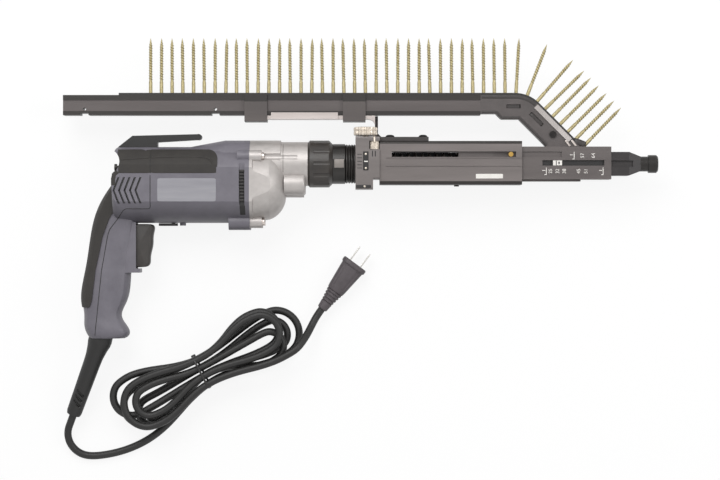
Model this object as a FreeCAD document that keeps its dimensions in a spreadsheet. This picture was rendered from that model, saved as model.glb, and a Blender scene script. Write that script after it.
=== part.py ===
import FreeCAD, Part
import math
import os
from types import SimpleNamespace

import Sketcher
from FreeCAD import Placement, Rotation, Vector

# A corded screw gun with a collated feed attachment, lying on its left side.
# Tool frame: X runs forward along the drive axis from the front of the motor housing,
# Y runs up through the magazine, Z runs out of the right side from the middle plane.
# Every sub-part is drawn in the tool frame and then shifted, so that the origin is
# under the middle of the tool on the surface that it lies on.

SIZES = {
    # motor housing and grip
    "motor_drop": 21.0,
    "barrel_radius": 38.0,
    "barrel_length": 97.5,
    "barrel_bore": 30.5,
    "side_half_width": 34.0,
    "housing_wall": 3.0,
    "rear_length": 38.0,
    "rear_bore": 29.0,
    "rear_round": 5.0,
    "web_radius": 12.5,
    "web_setback": 5.0,
    "web_height": 1.0,
    "shoulder_length": 60.0,
    "shoulder_radius": 17.0,
    "flange_length": 25.0,
    "flange_radius": 23.5,
    "foot_length": 21.0,
    "foot_radius": 8.0,
    "foot_drop": 58.0,
    "foot_spread": 12.0,
    "lug_radius": 6.0,
    "lug_height": 7.0,
    "lug_spread": 24.0,
    "lug_length": 12.0,
    "grip_top": 10.0,
    "grip_height": 164.0,
    "grip_depth": 44.0,
    "grip_half_width": 17.0,
    "grip_lean": 36.0,
    "grip_setback": 13.0,
    "seam_depth": 45.0,
    "shroud_top": 58.0,
    "shroud_bottom": 108.5,
    "shroud_setback": 16.0,
    "shroud_half_width": 12.5,
    "shroud_lip": 4.0,
    "vent_width": 2.0,
    "vent_pitch": 5.4,
    "vent_count": 5,
    "vent_rise": 13.0,
    "vent_slant": 5.0,
    "vent_start": 1.0,
    "vent_drop": 6.0,
    "vent_depth": 4.0,
    "slot_width": 5.5,
    "slot_height": 46.0,
    "slot_setback": 4.5,
    "slot_depth": 2.5,
    "rubber_thickness": 1.2,
    "band_top": 14.0,
    "band_bottom": 10.0,
    "band_front": 31.5,
    "band_gap": 0.5,
    "hook_length": 83.0,
    "hook_setback": 4.0,
    "hook_rise": 11.0,
    "hook_gap": 4.6,
    "hook_foot": 39.0,
    "hook_tip": 4.0,
    "hook_half_width": 6.5,
    "hook_ramp": 14.0,
    "hook_screw_place": 26.0,
    "hook_screw_radius": 2.0,
    "hook_screw_head": 4.0,
    "hook_screw_length": 14.0,
    "cover_screw_radius": 1.8,
    "cover_screw_head": 3.4,
    "cover_screw_length": 30.0,
    "cover_screw_long": 45.0,
    "cover_screw_sink": 5.0,
    # trigger, lever, button and switch
    "trigger_reach": 18.5,
    "trigger_height": 43.5,
    "trigger_half_width": 8.5,
    "trigger_tail": 7.0,
    "trigger_travel": 7.0,
    "trigger_stop": 4.0,
    "trigger_gap": 0.6,
    "lever_length": 19.0,
    "lever_width": 9.0,
    "lever_thickness": 2.6,
    "lever_advance": 25.0,
    "lever_pivot_radius": 2.0,
    "lever_pivot_depth": 4.5,
    "lever_stop_radius": 3.0,
    "lever_stop_gap": 2.0,
    "button_radius": 4.5,
    "button_length": 7.5,
    "button_proud": 4.0,
    "button_drop": 76.0,
    "button_setback": 30.5,
    "switch_length": 18.0,
    "switch_height": 30.0,
    "switch_half_width": 9.0,
    # motor
    "shaft_radius": 4.0,
    "brush_room": 26.5,
    "field_bore": 18.6,
    "field_setback": 26.0,
    "armature_radius": 18.0,
    "commutator_radius": 11.0,
    "commutator_length": 16.0,
    "commutator_gap": 12.0,
    "fan_radius": 27.0,
    "fan_thickness": 2.0,
    "fan_blade_length": 6.0,
    "fan_blade_width": 1.6,
    "fan_blades": 10,
    "fan_setback": 20.0,
    "brush_width": 8.0,
    "brush_reach": 18.7,
    "bearing_radius": 9.5,
    "bearing_width": 7.0,
    "plate_thickness": 6.0,
    # gear case, gears and spindle
    "tooth_module": 1.05,
    "pinion_teeth": 8,
    "gear_teeth": 32,
    "gear_width": 9.0,
    "gear_setback": 3.0,
    "gear_room": 1.2,
    "case_length": 57.5,
    "case_step": 30.5,
    "case_nose_radius": 22.0,
    "case_rim": 3.0,
    "case_dome_length": 35.5,
    "case_boss_radius": 12.5,
    "case_boss_length": 53.5,
    "case_spigot_radius": 15.0,
    "spindle_radius": 6.0,
    "spindle_bore": 7.0,
    "spindle_tail_radius": 3.9,
    "spindle_tail": 3.5,
    "spindle_front": 2.0,
    "sleeve_radius": 11.0,
    "sleeve_length": 12.0,
    "bit_radius": 3.2,
    "bit_length": 290.0,
    "bit_socket": 20.0,
    "screw_head_radius": 3.6,
    "screw_head_height": 2.5,
    "screw_shank_radius": 2.0,
    "screw_shank_length": 24.0,
    # nose collar and adapter
    "collar_length": 25.0,
    "collar_radius": 23.5,
    "collar_chamfer": 2.0,
    "collar_flutes": 12,
    "collar_flute_radius": 3.0,
    "adapter_length": 12.0,
    "adapter_radius": 20.0,
    "adapter_flat": 19.5,
    "adapter_thread_length": 10.5,
    "adapter_thread_radius": 19.5,
    "adapter_thread_rings": 4,
    "adapter_thread_depth": 1.0,
    "adapter_spigot_radius": 15.9,
    "adapter_spigot_length": 12.0,
    "adapter_bore": 9.0,
    "shaft_clearance": 0.05,
    "seat_clearance": 0.3,
    "slide_clearance": 0.4,
    "overrun": 5.0,
    # clamp block
    "block_length": 24.0,
    "block_top": 27.0,
    "block_bottom": 15.5,
    "block_half_width": 20.0,
    "block_foot_length": 17.5,
    "block_foot_drop": 25.5,
    "block_round": 2.0,
    "wheel_radius": 12.0,
    "wheel_height": 8.5,
    "wheel_lift": 1.0,
    "wheel_stem_radius": 3.0,
    "wheel_stem_depth": 7.0,
    "wheel_flutes": 20,
    "wheel_flute_radius": 1.0,
    "nut_radius": 4.8,
    "nut_height": 8.5,
    "nut_top": 22.5,
    "nut_stem_radius": 1.1,
    "nut_stem_rise": 5.0,
    "nut_setback": 5.2,
    "nut_depth": 5.2,
    "index_length": 5.5,
    "index_height": 19.0,
    "index_setback": 7.5,
    "index_top": 12.0,
    "index_thickness": 1.6,
    # outer housing
    "outer_length": 141.5,
    "outer_top": 22.5,
    "outer_bottom": 21.0,
    "outer_half_width": 17.0,
    "outer_round": 3.0,
    "outer_slot_start": 12.0,
    "outer_slot_end": 135.5,
    "outer_slot_top": 12.0,
    "outer_slot_bottom": 6.5,
    "outer_groove_depth": 0.8,
    "outer_groove_width": 1.2,
    "outer_groove_start": 6.5,
    "outer_groove_upper": 4.5,
    "outer_groove_lower": 2.5,
    "mouth_relief": 18.0,
    "nub_radius": 2.5,
    "nub_height": 1.5,
    "nub_place": 77.0,
    # feed slide
    "slide_setback": 63.0,
    "slide_length": 152.0,
    "slide_top": 17.0,
    "slide_bottom": 15.5,
    "slide_half_width": 13.0,
    "slide_keel_drop": 2.0,
    "slide_keel_half_width": 6.0,
    "slide_keel_length": 122.0,
    "slide_bore": 6.0,
    "slide_groove_start": 35.0,
    "slide_groove_end": 102.5,
    "slide_groove_depth": 1.6,
    "feed_travel": 55.0,
    "pin_radius": 2.4,
    "pin_place": 52.0,
    "pin_proud": 0.5,
    "pin_depth": 4.0,
    "index_slot_rear": 68.5,
    "index_slot_front": 7.0,
    "index_slot_top": 3.5,
    "index_slot_bottom": 2.0,
    "arm_inner": 7.0,
    "arm_thickness": 3.0,
    "arm_half_height": 6.0,
    "arm_engaged": 30.0,
    "arm_travel": 30.0,
    "pointer_setback": 58.0,
    "pointer_length": 9.0,
    "spring_radius": 10.0,
    "spring_wire_radius": 0.9,
    "spring_turns": 11,
    "spring_end_gap": 0.09,
    # nosepiece
    "nose_length": 30.0,
    "nose_straight": 18.0,
    "nose_half_height": 11.75,
    "nose_half_width": 11.0,
    "nose_end_half": 7.2,
    "nose_bore": 5.5,
    "nose_groove_length": 22.0,
    "nose_groove_half": 3.2,
    "nose_groove_depth": 3.0,
    "tip_neck_length": 8.0,
    "tip_neck_radius": 7.5,
    "tip_head_length": 9.5,
    "tip_head_radius": 9.0,
    "tip_bore": 5.0,
    "tip_round": 1.5,
    # magazine
    "rail_length": 416.0,
    "rail_rear": 186.5,
    "rail_top": 68.5,
    "rail_height": 20.0,
    "rail_half_width": 9.0,
    "rail_waist": 0.8,
    "rail_cap": 5.0,
    "rail_base": 4.0,
    "rail_channel_half": 4.8,
    "rail_floor": 60.0,
    "rail_hole_radius": 1.5,
    "rail_hole_height": 54.5,
    "rail_hole_rear": 21.5,
    "rail_hole_front": 152.0,
    "rail_notch_length": 8.0,
    "rail_notch_depth": 2.0,
    "bar_rear": 3.5,
    "bar_top": 48.0,
    "bar_thickness": 3.5,
    "bar_corner": 6.5,
    "bar_tab_start": 21.0,
    "bar_tab_length": 66.5,
    "bar_tab_height": 3.0,
    "bar_tab_thickness": 2.4,
    "clip_wall": 2.5,
    "clip_length": 22.5,
    "clip_rear": 5.5,
    "clip_spacing": 98.0,
    "clip_lip": 4.0,
    "bracket_thickness": 4.2,
    "bracket_length": 48.5,
    "bracket_half_width": 12.0,
    "bracket_arm": 3.0,
    "bracket_arm_gap": 1.5,
    "bracket_arm_width": 7.0,
    "bracket_bend": 4.0,
    "bracket_screw_first": 10.5,
    "bracket_screw_second": 43.5,
    "bracket_screw_head": 4.5,
    "bracket_screw_height": 2.5,
    "bracket_screw_radius": 2.0,
    "bracket_screw_depth": 7.0,
    # front guide
    "guide_half_width": 8.0,
    "guide_bend_start": 264.0,
    "guide_bend_radius": 32.0,
    "guide_rear_drop": 18.5,
    "guide_belly_drop": 24.0,
    "guide_belly_start": 16.0,
    "guide_throat": 33.3,
    "guide_slot_length": 14.0,
    "guide_slot_width": 4.0,
    "guide_slot_place": 8.5,
    "guide_slot_gap": 0.8,
    "guide_slant_length": 17.0,
    "guide_slant_start": 1.0,
    "cover_strip_width": 5.0,
    "cover_strip_length": 48.0,
    "cover_strip_thickness": 1.2,
    "sprocket_along": 31.8,
    "sprocket_drop": 10.4,
    "sprocket_radius": 9.0,
    "sprocket_root": 6.6,
    "sprocket_teeth": 6,
    "sprocket_disc": 1.4,
    "sprocket_inner": 4.9,
    "sprocket_hub": 3.4,
    "axle_radius": 2.0,
    "axle_head_radius": 3.5,
    "axle_head_height": 1.5,
    # strip and screws
    "strip_half_width": 3.4,
    "strip_height": 6.0,
    "strip_proud": 2.5,
    "strip_rear": 131.5,
    "screw_pitch": 10.74,
    "screw_count": 43,
    "screw_first": 99.8,
    "screw_length": 63.5,
    "screw_radius": 2.1,
    "screw_cap_radius": 4.2,
    "screw_cap_height": 2.6,
    "screw_point": 7.0,
    # cord, strain relief and plug
    "cord_diameter": 7.5,
    "cord_straight": 9.2,
    "boot_socket": 9.0,
    "boot_socket_radius": 8.6,
    "boot_collar_radius": 12.0,
    "boot_collar": 5.0,
    "boot_length": 85.0,
    "boot_waist": 28.0,
    "boot_waist_radius": 8.6,
    "boot_end_radius": 7.7,
    "boot_slit": 2.0,
    "boot_slits": 3,
    "boot_slit_pitch": 5.5,
    "boot_slit_depth": 1.6,
    "boot_setback": 52.0,
    "boot_lean_degrees": 21.0,
    "boot_droop_degrees": 13.0,
    "hank_ahead": 104.0,
    "hank_drop": 30.0,
    "hank_degrees": 28.0,
    "hank_half_length": 76.0,
    "hank_length_step": 3.0,
    "hank_end_radius": 26.0,
    "hank_end_step": 9.2,
    "hank_waist": 15.6,
    "hank_layer": 8.6,
    "hank_lift": 1.7,
    "tie_thickness": 1.0,
    "tie_width": 3.0,
    "tie_clearance": 0.6,
    "plug_length": 57.0,
    "plug_neck_length": 28.0,
    "plug_neck_radius": 5.6,
    "plug_half_width": 13.5,
    "plug_half_thickness": 10.5,
    "plug_flange": 8.0,
    "plug_degrees": 53.5,
    "plug_ahead": 220.5,
    "plug_rise": 28.5,
    "plug_ribs": 4,
    "plug_rib_depth": 1.0,
    "plug_rib_width": 2.4,
    "blade_spacing": 12.7,
    "blade_thickness": 1.6,
    "blade_width": 6.35,
    "blade_length": 16.3,
    "blade_root": 8.0,
}


class Size:
    """A length with its value in millimetres and the sheet formula that gives it."""

    def __init__(self, value, formula):
        self.value = float(value)
        self.formula = formula

    def __float__(self):
        return self.value

    def __add__(self, other):
        other = as_size(other)
        return Size(self.value + other.value, f"({self.formula} + {other.formula})")

    def __sub__(self, other):
        other = as_size(other)
        return Size(self.value - other.value, f"({self.formula} - {other.formula})")

    def __mul__(self, other):
        other = as_size(other)
        return Size(self.value * other.value, f"({self.formula} * {other.formula})")

    def __truediv__(self, other):
        other = as_size(other)
        return Size(self.value / other.value, f"({self.formula} / {other.formula})")

    def __neg__(self):
        return Size(-self.value, f"(0 - {self.formula})")

    __radd__ = __add__
    __rmul__ = __mul__


def as_size(number):
    """A plain number as a Size, and a Size as it is."""
    if isinstance(number, Size):
        return number
    return Size(number, f"({float(number):.9f})")


doc = FreeCAD.newDocument("screw_gun")
sheet = doc.addObject("Spreadsheet::Sheet", "Sizes")
for row, (alias, number) in enumerate(SIZES.items(), start=1):
    sheet.set(f"A{row}", alias)
    sheet.set(f"B{row}", str(number))
    sheet.setAlias(f"B{row}", alias)
doc.recompute()
d = SimpleNamespace(**{alias: Size(number, f"Sizes.{alias}") for alias, number in SIZES.items()})
zero = as_size(0)
sub_parts = []


def bind(thing, prop, size):
    """Tie one property of an object to the sheet."""
    size = as_size(size)
    thing.setExpression(prop, size.formula)


def place(thing, x, y, z):
    """Tie the place of an object to the sheet."""
    for letter, size in zip("xyz", (x, y, z)):
        bind(thing, f"Placement.Base.{letter}", size)


def origin_plane(body, role):
    return [plane for plane in body.Origin.OriginFeatures if plane.Role == role][0]


def new_body(name):
    return doc.addObject("PartDesign::Body", name)


def new_sketch(body, role, lift, across, sideways):
    """An empty sketch on a plane of the body, lifted along its normal and moved on it."""
    sketch = body.newObject("Sketcher::SketchObject", f"{body.Name}_sketch")
    sketch.AttachmentSupport = [(origin_plane(body, role), "")]
    sketch.MapMode = "FlatFace"
    bind(sketch, "AttachmentOffset.Base.z", lift)
    bind(sketch, "AttachmentOffset.Base.y", across)
    bind(sketch, "AttachmentOffset.Base.x", sideways)
    return sketch


def outline_sketch(body, role, outline, lift=zero, across=zero, sideways=zero):
    """A closed outline of straight lines. A point marked "arc" lies on the arc between
    its two neighbours, which takes the place of the line between them."""
    sketch = new_sketch(body, role, lift, across, sideways)
    corners = [point for point in outline if len(point) == 2]
    through = {}
    for point in outline:
        if len(point) == 2:
            last = point
        else:
            through[id(last)] = point
    flat = [Vector(float(as_size(u)), float(as_size(v)), 0) for u, v in corners]
    count = len(corners)
    ends = []
    rules = []
    for index, corner in enumerate(corners):
        start = flat[index]
        end = flat[(index + 1) % count]
        middle = through.get(id(corner))
        if middle is None:
            edge = sketch.addGeometry(Part.LineSegment(start, end))
            ends.append((edge, 1, 2))
            continue
        on_arc = Vector(float(as_size(middle[0])), float(as_size(middle[1])), 0)
        edge = sketch.addGeometry(Part.Arc(start, on_arc, end))
        starts_first = (sketch.getPoint(edge, 1) - start).Length < (sketch.getPoint(edge, 2) - start).Length
        ends.append((edge, 1, 2) if starts_first else (edge, 2, 1))
        mark = sketch.addGeometry(Part.Point(on_arc), True)
        rules.append((("PointOnObject", mark, 1, edge), None))
        rules.append((("DistanceX", -1, 1, mark, 1, on_arc.x), middle[0]))
        rules.append((("DistanceY", -1, 1, mark, 1, on_arc.y), middle[1]))
    for index, corner in enumerate(corners):
        edge, first, last = ends[index]
        before, _, before_end = ends[index - 1]
        rules.append((("Coincident", before, before_end, edge, first), None))
        rules.append((("DistanceX", -1, 1, edge, first, flat[index].x), corner[0]))
        rules.append((("DistanceY", -1, 1, edge, first, flat[index].y), corner[1]))
    numbers = sketch.addConstraint([Sketcher.Constraint(*rule) for rule, _ in rules])
    for number, (_, size) in zip(numbers, rules):
        if size is not None:
            bind(sketch, f"Constraints[{number}]", size)
    return sketch


def pad(body, sketch, length, both_ways=True):
    """Thicken a sketch into the body, to both sides alike or along its normal."""
    feature = body.newObject("PartDesign::Pad", f"{body.Name}_pad")
    feature.Profile = sketch
    feature.Midplane = both_ways
    bind(feature, "Length", length)
    body.Tip = feature
    return feature


def polar(body, feature, count):
    """Repeat a padded feature all round the normal of its sketch."""
    pattern = body.newObject("PartDesign::PolarPattern", f"{body.Name}_round")
    pattern.Originals = [feature]
    pattern.Axis = (feature.Profile[0], ["N_Axis"])
    pattern.Angle = 360
    bind(pattern, "Occurrences", count)
    body.Tip = pattern


def slab(name, role, outline, length, both_ways=True, lift=zero):
    """A body made of one outline, thickened."""
    body = new_body(name)
    pad(body, outline_sketch(body, role, outline, lift), length, both_ways)
    return body


def turned(name, outline, axis_height=zero):
    """A body turned about a line along X: its outline holds (x, radius) points."""
    body = new_body(name)
    sketch = outline_sketch(body, "XY_Plane", outline, across=axis_height)
    feature = body.newObject("PartDesign::Revolution", f"{name}_turn")
    feature.Profile = sketch
    feature.ReferenceAxis = (sketch, ["H_Axis"])
    body.Tip = feature
    return body


def tube_outline(start, length, outer, inner=None):
    """The (x, radius) outline of a ring, or of a plain rod where it has no bore."""
    inner = zero if inner is None else inner
    return [(start, inner), (start + length, inner), (start + length, outer), (start, outer)]


def rod(name, way, x, y, z, radius, length):
    """A plain cylinder from a point along +X, +Y or +Z."""
    cylinder = doc.addObject("Part::Cylinder", name)
    turns = {"X": Rotation(Vector(0, 1, 0), 90), "Y": Rotation(Vector(1, 0, 0), -90), "Z": Rotation()}
    cylinder.Placement = Placement(Vector(), turns[way])
    place(cylinder, x, y, z)
    bind(cylinder, "Radius", radius)
    bind(cylinder, "Height", length)
    return cylinder


def block(name, low, high):
    """A plain box between two corners."""
    box = doc.addObject("Part::Box", name)
    place(box, *low)
    for prop, start, end in zip(("Length", "Width", "Height"), low, high):
        bind(box, prop, as_size(end) - start)
    return box


def fuse(name, pieces):
    joined = doc.addObject("Part::MultiFuse", name)
    joined.Shapes = pieces
    joined.Refine = True
    return joined


def cut(name, base, tools):
    """The base with one or more tools taken away."""
    result = doc.addObject("Part::Cut", name)
    result.Base = base
    result.Tool = tools[0] if len(tools) == 1 else group(f"{name}_tools", tools)
    result.Refine = True
    return result


def common(name, pieces):
    shared = doc.addObject("Part::MultiCommon", name)
    shared.Shapes = pieces
    shared.Refine = True
    return shared


def group(name, pieces):
    """Separate solids carried as one object."""
    together = doc.addObject("Part::Compound", name)
    together.Links = pieces
    return together


def made(name, shape):
    """An object whose shape is worked out here from the sheet's values."""
    feature = doc.addObject("Part::Feature", name)
    feature.Shape = shape
    return feature


def rounded(name, base, radius, wanted):
    """The base with the edges that the test picks rounded."""
    doc.recompute()
    result = doc.addObject("Part::Fillet", name)
    result.Base = base
    picked = [index for index, edge in enumerate(base.Shape.Edges, start=1) if wanted(edge)]
    result.Edges = [(index, float(radius), float(radius)) for index in picked]
    return result


def along(edge, way):
    """True for a straight edge along one axis."""
    if not isinstance(edge.Curve, (Part.Line, Part.LineSegment)):
        return False
    run = edge.Vertexes[-1].Point - edge.Vertexes[0].Point
    return abs(run.normalize().dot(way)) > 0.999


def keep(label, thing, spot=(zero, zero, zero)):
    """Make an object a sub-part: name it and shift it to the part's own frame. A rod or
    box that is placed already is wrapped, so that its own place stays."""
    if thing.TypeId in ("Part::Box", "Part::Cylinder"):
        thing.Label = f"{label}_form"
        thing = group(label, [thing])
    thing.Label = label
    shift = (-(rail_rear_end + nose_end) / 2, -(screw_top + grip_bottom) / 2, d.side_half_width)
    place(thing, *[move + at for move, at in zip(shift, spot)])
    sub_parts.append(thing)
    return thing


# Main places along the drive axis, each where one piece meets the next.
collar_start = d.case_length
adapter_start = collar_start + d.collar_length
thread_start = adapter_start + d.adapter_length
block_start = thread_start + d.adapter_thread_length
outer_start = block_start + d.block_length
outer_end = outer_start + d.outer_length
slide_start = outer_end - d.slide_setback
slide_end = slide_start + d.slide_length
nose_start = slide_end
tip_start = nose_start + d.nose_length
nose_end = tip_start + d.tip_neck_length + d.tip_head_length
rail_rear_end = -d.rail_rear
rail_front = rail_rear_end + d.rail_length
strip_top = d.rail_top + d.strip_proud
screw_top = strip_top - d.strip_height - d.screw_cap_height - d.shaft_clearance + d.screw_length
grip_bottom = -d.grip_top - d.grip_height
motor_height = -d.motor_drop

# Motor housing and rear cover.
# Both come from the same outer form, a flat-sided barrel with a lofted grip under it,
# split along the seam that runs down the grip.
rear_end = -d.barrel_length - d.rear_length
barrel_bottom = motor_height - d.barrel_radius
shroud_front = -d.barrel_length - d.shroud_setback
trigger_tail = shroud_front - d.trigger_tail
shroud_back = trigger_tail - d.trigger_travel - d.trigger_stop
lever_front = d.lever_advance - d.barrel_length
button_x = -d.barrel_length - d.button_setback
boot_x = -d.barrel_length - d.boot_setback
grip_section_shares = [
    (0.0, 0.0, 0.91, 1.41),
    (0.21, 0.58, 0.91, 1.12),
    (0.37, 0.72, 1.0, 1.0),
    (0.6, 0.87, 1.03, 0.97),
    (0.79, 0.99, 0.98, 0.97),
    (0.9, 0.99, 0.91, 0.97),
    (0.95, 0.903, 1.0, 1.0),
    (0.976, 0.875, 0.96, 0.97),
    (1.0, 0.9, 0.79, 0.85),
]
corner_share = 0.76


def grip_form(name, growth):
    """The grip lofted through level sections, each of four arcs, grown all round."""
    body = new_body(name)
    sections = []
    for level, lean, depth, width in grip_section_shares:
        middle = -d.barrel_length - d.grip_setback - d.grip_lean * lean
        reach = d.grip_depth * 0.5 * depth + growth
        half = d.grip_half_width * width + growth
        front = middle + reach
        back = middle - reach
        corner_reach = reach * corner_share
        corner_half = half * corner_share
        outline = [
            (middle - corner_reach, -corner_half), (middle, -half, "arc"),
            (middle + corner_reach, -corner_half), (front, zero, "arc"),
            (middle + corner_reach, corner_half), (middle, half, "arc"),
            (middle - corner_reach, corner_half), (back, zero, "arc"),
        ]
        lift = d.grip_top + d.grip_height * level
        sections.append(outline_sketch(body, "XZ_Plane", outline, lift))
    loft = body.newObject("PartDesign::AdditiveLoft", f"{name}_loft")
    loft.Profile = sections[0]
    loft.Sections = sections[1:]
    body.Tip = loft
    return body


grip = grip_form("grip_form", zero)
side_limit = block(
    "side_limit",
    (rear_end - d.overrun, grip_bottom - d.overrun, -d.side_half_width),
    (d.case_length, d.barrel_radius, d.side_half_width),
)
barrel = rod("barrel", "X", -d.barrel_length, motor_height, zero, d.barrel_radius, d.barrel_length)
shoulder = turned("shoulder", [
    (-d.shoulder_length, zero), (-d.shoulder_length, d.shoulder_radius),
    (-d.flange_length, d.flange_radius), (zero, d.flange_radius), (zero, zero),
])
lugs = [
    rod("lug", "X", -d.lug_length, d.lug_height, d.lug_spread * side, d.lug_radius, d.lug_length)
    for side in (1, -1)
]
feet = [
    rod("foot", "X", -d.foot_length, -d.foot_drop, d.foot_spread * side, d.foot_radius, d.foot_length)
    for side in (1, -1)
]
foot_web = block(
    "foot_web",
    (-d.foot_length, -d.foot_drop - d.foot_radius, -d.foot_spread),
    (zero, -d.foot_drop, d.foot_spread),
)
shroud = slab("shroud", "XY_Plane", [
    (shroud_back, -d.shroud_top), (shroud_front, -d.shroud_top),
    (shroud_front, -d.shroud_bottom + d.shroud_lip),
    (shroud_front + d.shroud_lip, -d.shroud_bottom + d.shroud_lip),
    (shroud_front + d.shroud_lip, -d.shroud_bottom), (shroud_back, -d.shroud_bottom),
], d.shroud_half_width * 2)
lever_stop = rod(
    "lever_stop", "Y", lever_front + d.lever_stop_gap + d.lever_stop_radius,
    barrel_bottom - d.lever_thickness, zero, d.lever_stop_radius, d.lever_thickness + d.housing_wall,
)
round_share = 1 - math.sqrt(0.5)
rear_barrel = turned("rear_barrel", [
    (rear_end, zero), (rear_end, d.barrel_radius - d.rear_round),
    (rear_end + d.rear_round * round_share, d.barrel_radius - d.rear_round * round_share, "arc"),
    (rear_end + d.rear_round, d.barrel_radius), (-d.barrel_length, d.barrel_radius), (-d.barrel_length, zero),
], motor_height)
rear_flats = common("rear_barrel_flats", [rear_barrel, side_limit])
housing_outer = fuse("housing_outer", [
    common("barrel_flats", [barrel, side_limit]), rear_flats, shoulder, *lugs, *feet, foot_web, grip, shroud,
    lever_stop,
])

seam_shares = [(0.0, 0.0), (0.59, 0.0), (0.95, 0.134), (1.13, 0.372), (1.3, 0.85)]
seam_back = rear_end - d.grip_lean
seam = [(-d.barrel_length - d.grip_depth * x, -d.seam_depth - d.grip_height * y) for x, y in seam_shares]
rear_region = slab(
    "rear_region", "XY_Plane",
    [(-d.barrel_length, d.barrel_radius), *seam, (seam_back, seam[-1][1]), (seam_back, d.barrel_radius)],
    (d.side_half_width + d.overrun) * 2,
)

rear_bearing_end = rear_end + d.housing_wall + d.bearing_width
rear_room = turned("rear_room", [
    (rear_end + d.housing_wall, zero), (rear_end + d.housing_wall, d.bearing_radius),
    (rear_bearing_end, d.bearing_radius), (rear_bearing_end, d.rear_bore),
    (-d.barrel_length, d.rear_bore), (-d.barrel_length, zero),
], motor_height)
motor_bore = rod("motor_bore", "X", -d.barrel_length, motor_height, zero, d.barrel_bore, d.barrel_length)
trigger_top = -d.shroud_top - d.trigger_gap * 3
trigger_bottom = trigger_top - d.trigger_height
trigger_room = block(
    "trigger_room",
    (shroud_back, trigger_bottom - d.trigger_gap, -d.trigger_half_width - d.trigger_gap),
    (shroud_front + d.overrun, trigger_top + d.trigger_gap, d.trigger_half_width + d.trigger_gap),
)
switch_top = -d.shroud_top - d.shroud_lip * 2
switch_low = (shroud_back - d.switch_length, switch_top - d.switch_height, -d.switch_half_width)
switch_high = (shroud_back, switch_top, d.switch_half_width)
switch_room = block(
    "switch_room",
    [low - d.shaft_clearance for low in switch_low],
    [high + d.shaft_clearance for high in switch_high],
)
button_hole = rod(
    "button_hole", "Z", button_x, -d.button_drop, -d.grip_half_width - d.button_proud,
    d.button_radius + d.shaft_clearance, d.grip_half_width + d.button_proud - d.trigger_half_width,
)
lever_pivot_x = lever_front - d.lever_width * 0.5
lever_hole = rod(
    "lever_hole", "Y", lever_pivot_x, barrel_bottom - d.overrun, zero,
    d.lever_pivot_radius + d.shaft_clearance, d.overrun + d.lever_pivot_depth,
)
case_screw_places = [(d.lug_height, d.lug_spread), (-d.foot_drop, d.foot_spread)]
case_screw_spots = [(y, z * side) for y, z in case_screw_places for side in (1, -1)]
case_screw_holes = [
    rod("case_screw_hole", "X", d.lug_length - d.screw_shank_length, y, z, d.screw_shank_radius,
        d.screw_shank_length)
    for y, z in case_screw_spots
]
vent_slots = [
    block(
        "vent_slot",
        (-d.slot_setback - d.slot_width, motor_height - d.slot_height * 0.5,
         d.side_half_width * side - d.slot_depth),
        (-d.slot_setback, motor_height + d.slot_height * 0.5, d.side_half_width * side + d.slot_depth),
    )
    for side in (1, -1)
]
boot_turn = Rotation(Vector(0, 0, 1), -90 - float(d.boot_lean_degrees))
boot_turn = boot_turn * Rotation(Vector(0, 1, 0), float(d.boot_droop_degrees))


def boot_tool(name, start, length, radius):
    """A rod on the strain relief's own axis, which leans back and droops to the floor."""
    body = turned(name, tube_outline(start, length, radius))
    body.Placement = Placement(Vector(), boot_turn)
    place(body, boot_x, grip_bottom, zero)
    return body


boot_room = boot_tool(
    "boot_room", -d.boot_socket, d.boot_socket + d.overrun, d.boot_socket_radius + d.shaft_clearance,
)
boot_seat = boot_tool("boot_seat", zero, d.boot_collar, d.boot_collar_radius + d.shaft_clearance)
ring_height = (d.barrel_radius + d.rear_bore) * 0.5
upper_screw_shares = (0.5, 0.866)
cover_screw_spots = [
    (rear_end, motor_height + ring_height * upper_screw_shares[0], ring_height * upper_screw_shares[1] * side)
    for side in (1, -1)
]
low_screw_shares = (1.58, 0.64)
cover_screw_spots.append((
    -d.barrel_length - d.grip_depth * low_screw_shares[0],
    -d.seam_depth - d.grip_height * low_screw_shares[1], zero,
))
cover_screw_lengths = (d.cover_screw_long, d.cover_screw_long, d.cover_screw_length)
cover_screws = []
cover_screw_holes = []
for (x, y, z), length in zip(cover_screw_spots, cover_screw_lengths):
    head_end = x + d.cover_screw_sink
    cover_screws.append(fuse("cover_screw", [
        rod("cover_screw_head", "X", x + d.cover_screw_sink * 0.5, y, z, d.cover_screw_head,
            d.cover_screw_sink * 0.5),
        rod("cover_screw_shank", "X", head_end, y, z, d.cover_screw_radius, length),
    ]))
    cover_screw_holes.append(rod(
        "cover_screw_sink", "X", x - d.overrun, y, z, d.cover_screw_head, d.overrun + d.cover_screw_sink))
    cover_screw_holes.append(rod(
        "cover_screw_hole", "X", head_end, y, z, d.cover_screw_radius, length))

keep("motor_housing", cut("motor_housing", housing_outer, [
    rear_region, rear_room, motor_bore, trigger_room, switch_room, button_hole, lever_hole, boot_room,
    boot_seat,
    *case_screw_holes, *vent_slots, *cover_screw_holes,
]))

web_cut = rod(
    "web_cut", "Z", rear_end - d.web_setback, d.web_height, -d.side_half_width - d.overrun, d.web_radius,
    (d.side_half_width + d.overrun) * 2,
)
hook_rear = rear_end + d.hook_setback
hook_base = motor_height + d.barrel_radius
hook_top = hook_base + d.hook_rise
hook_screw_x = hook_rear + d.hook_screw_place
hook_screw_seat = hook_top - d.screw_head_height
hook_screw_hole = rod(
    "hook_screw_hole", "Y", hook_screw_x, hook_screw_seat - d.hook_screw_length, zero, d.hook_screw_radius,
    d.hook_screw_length,
)


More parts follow.
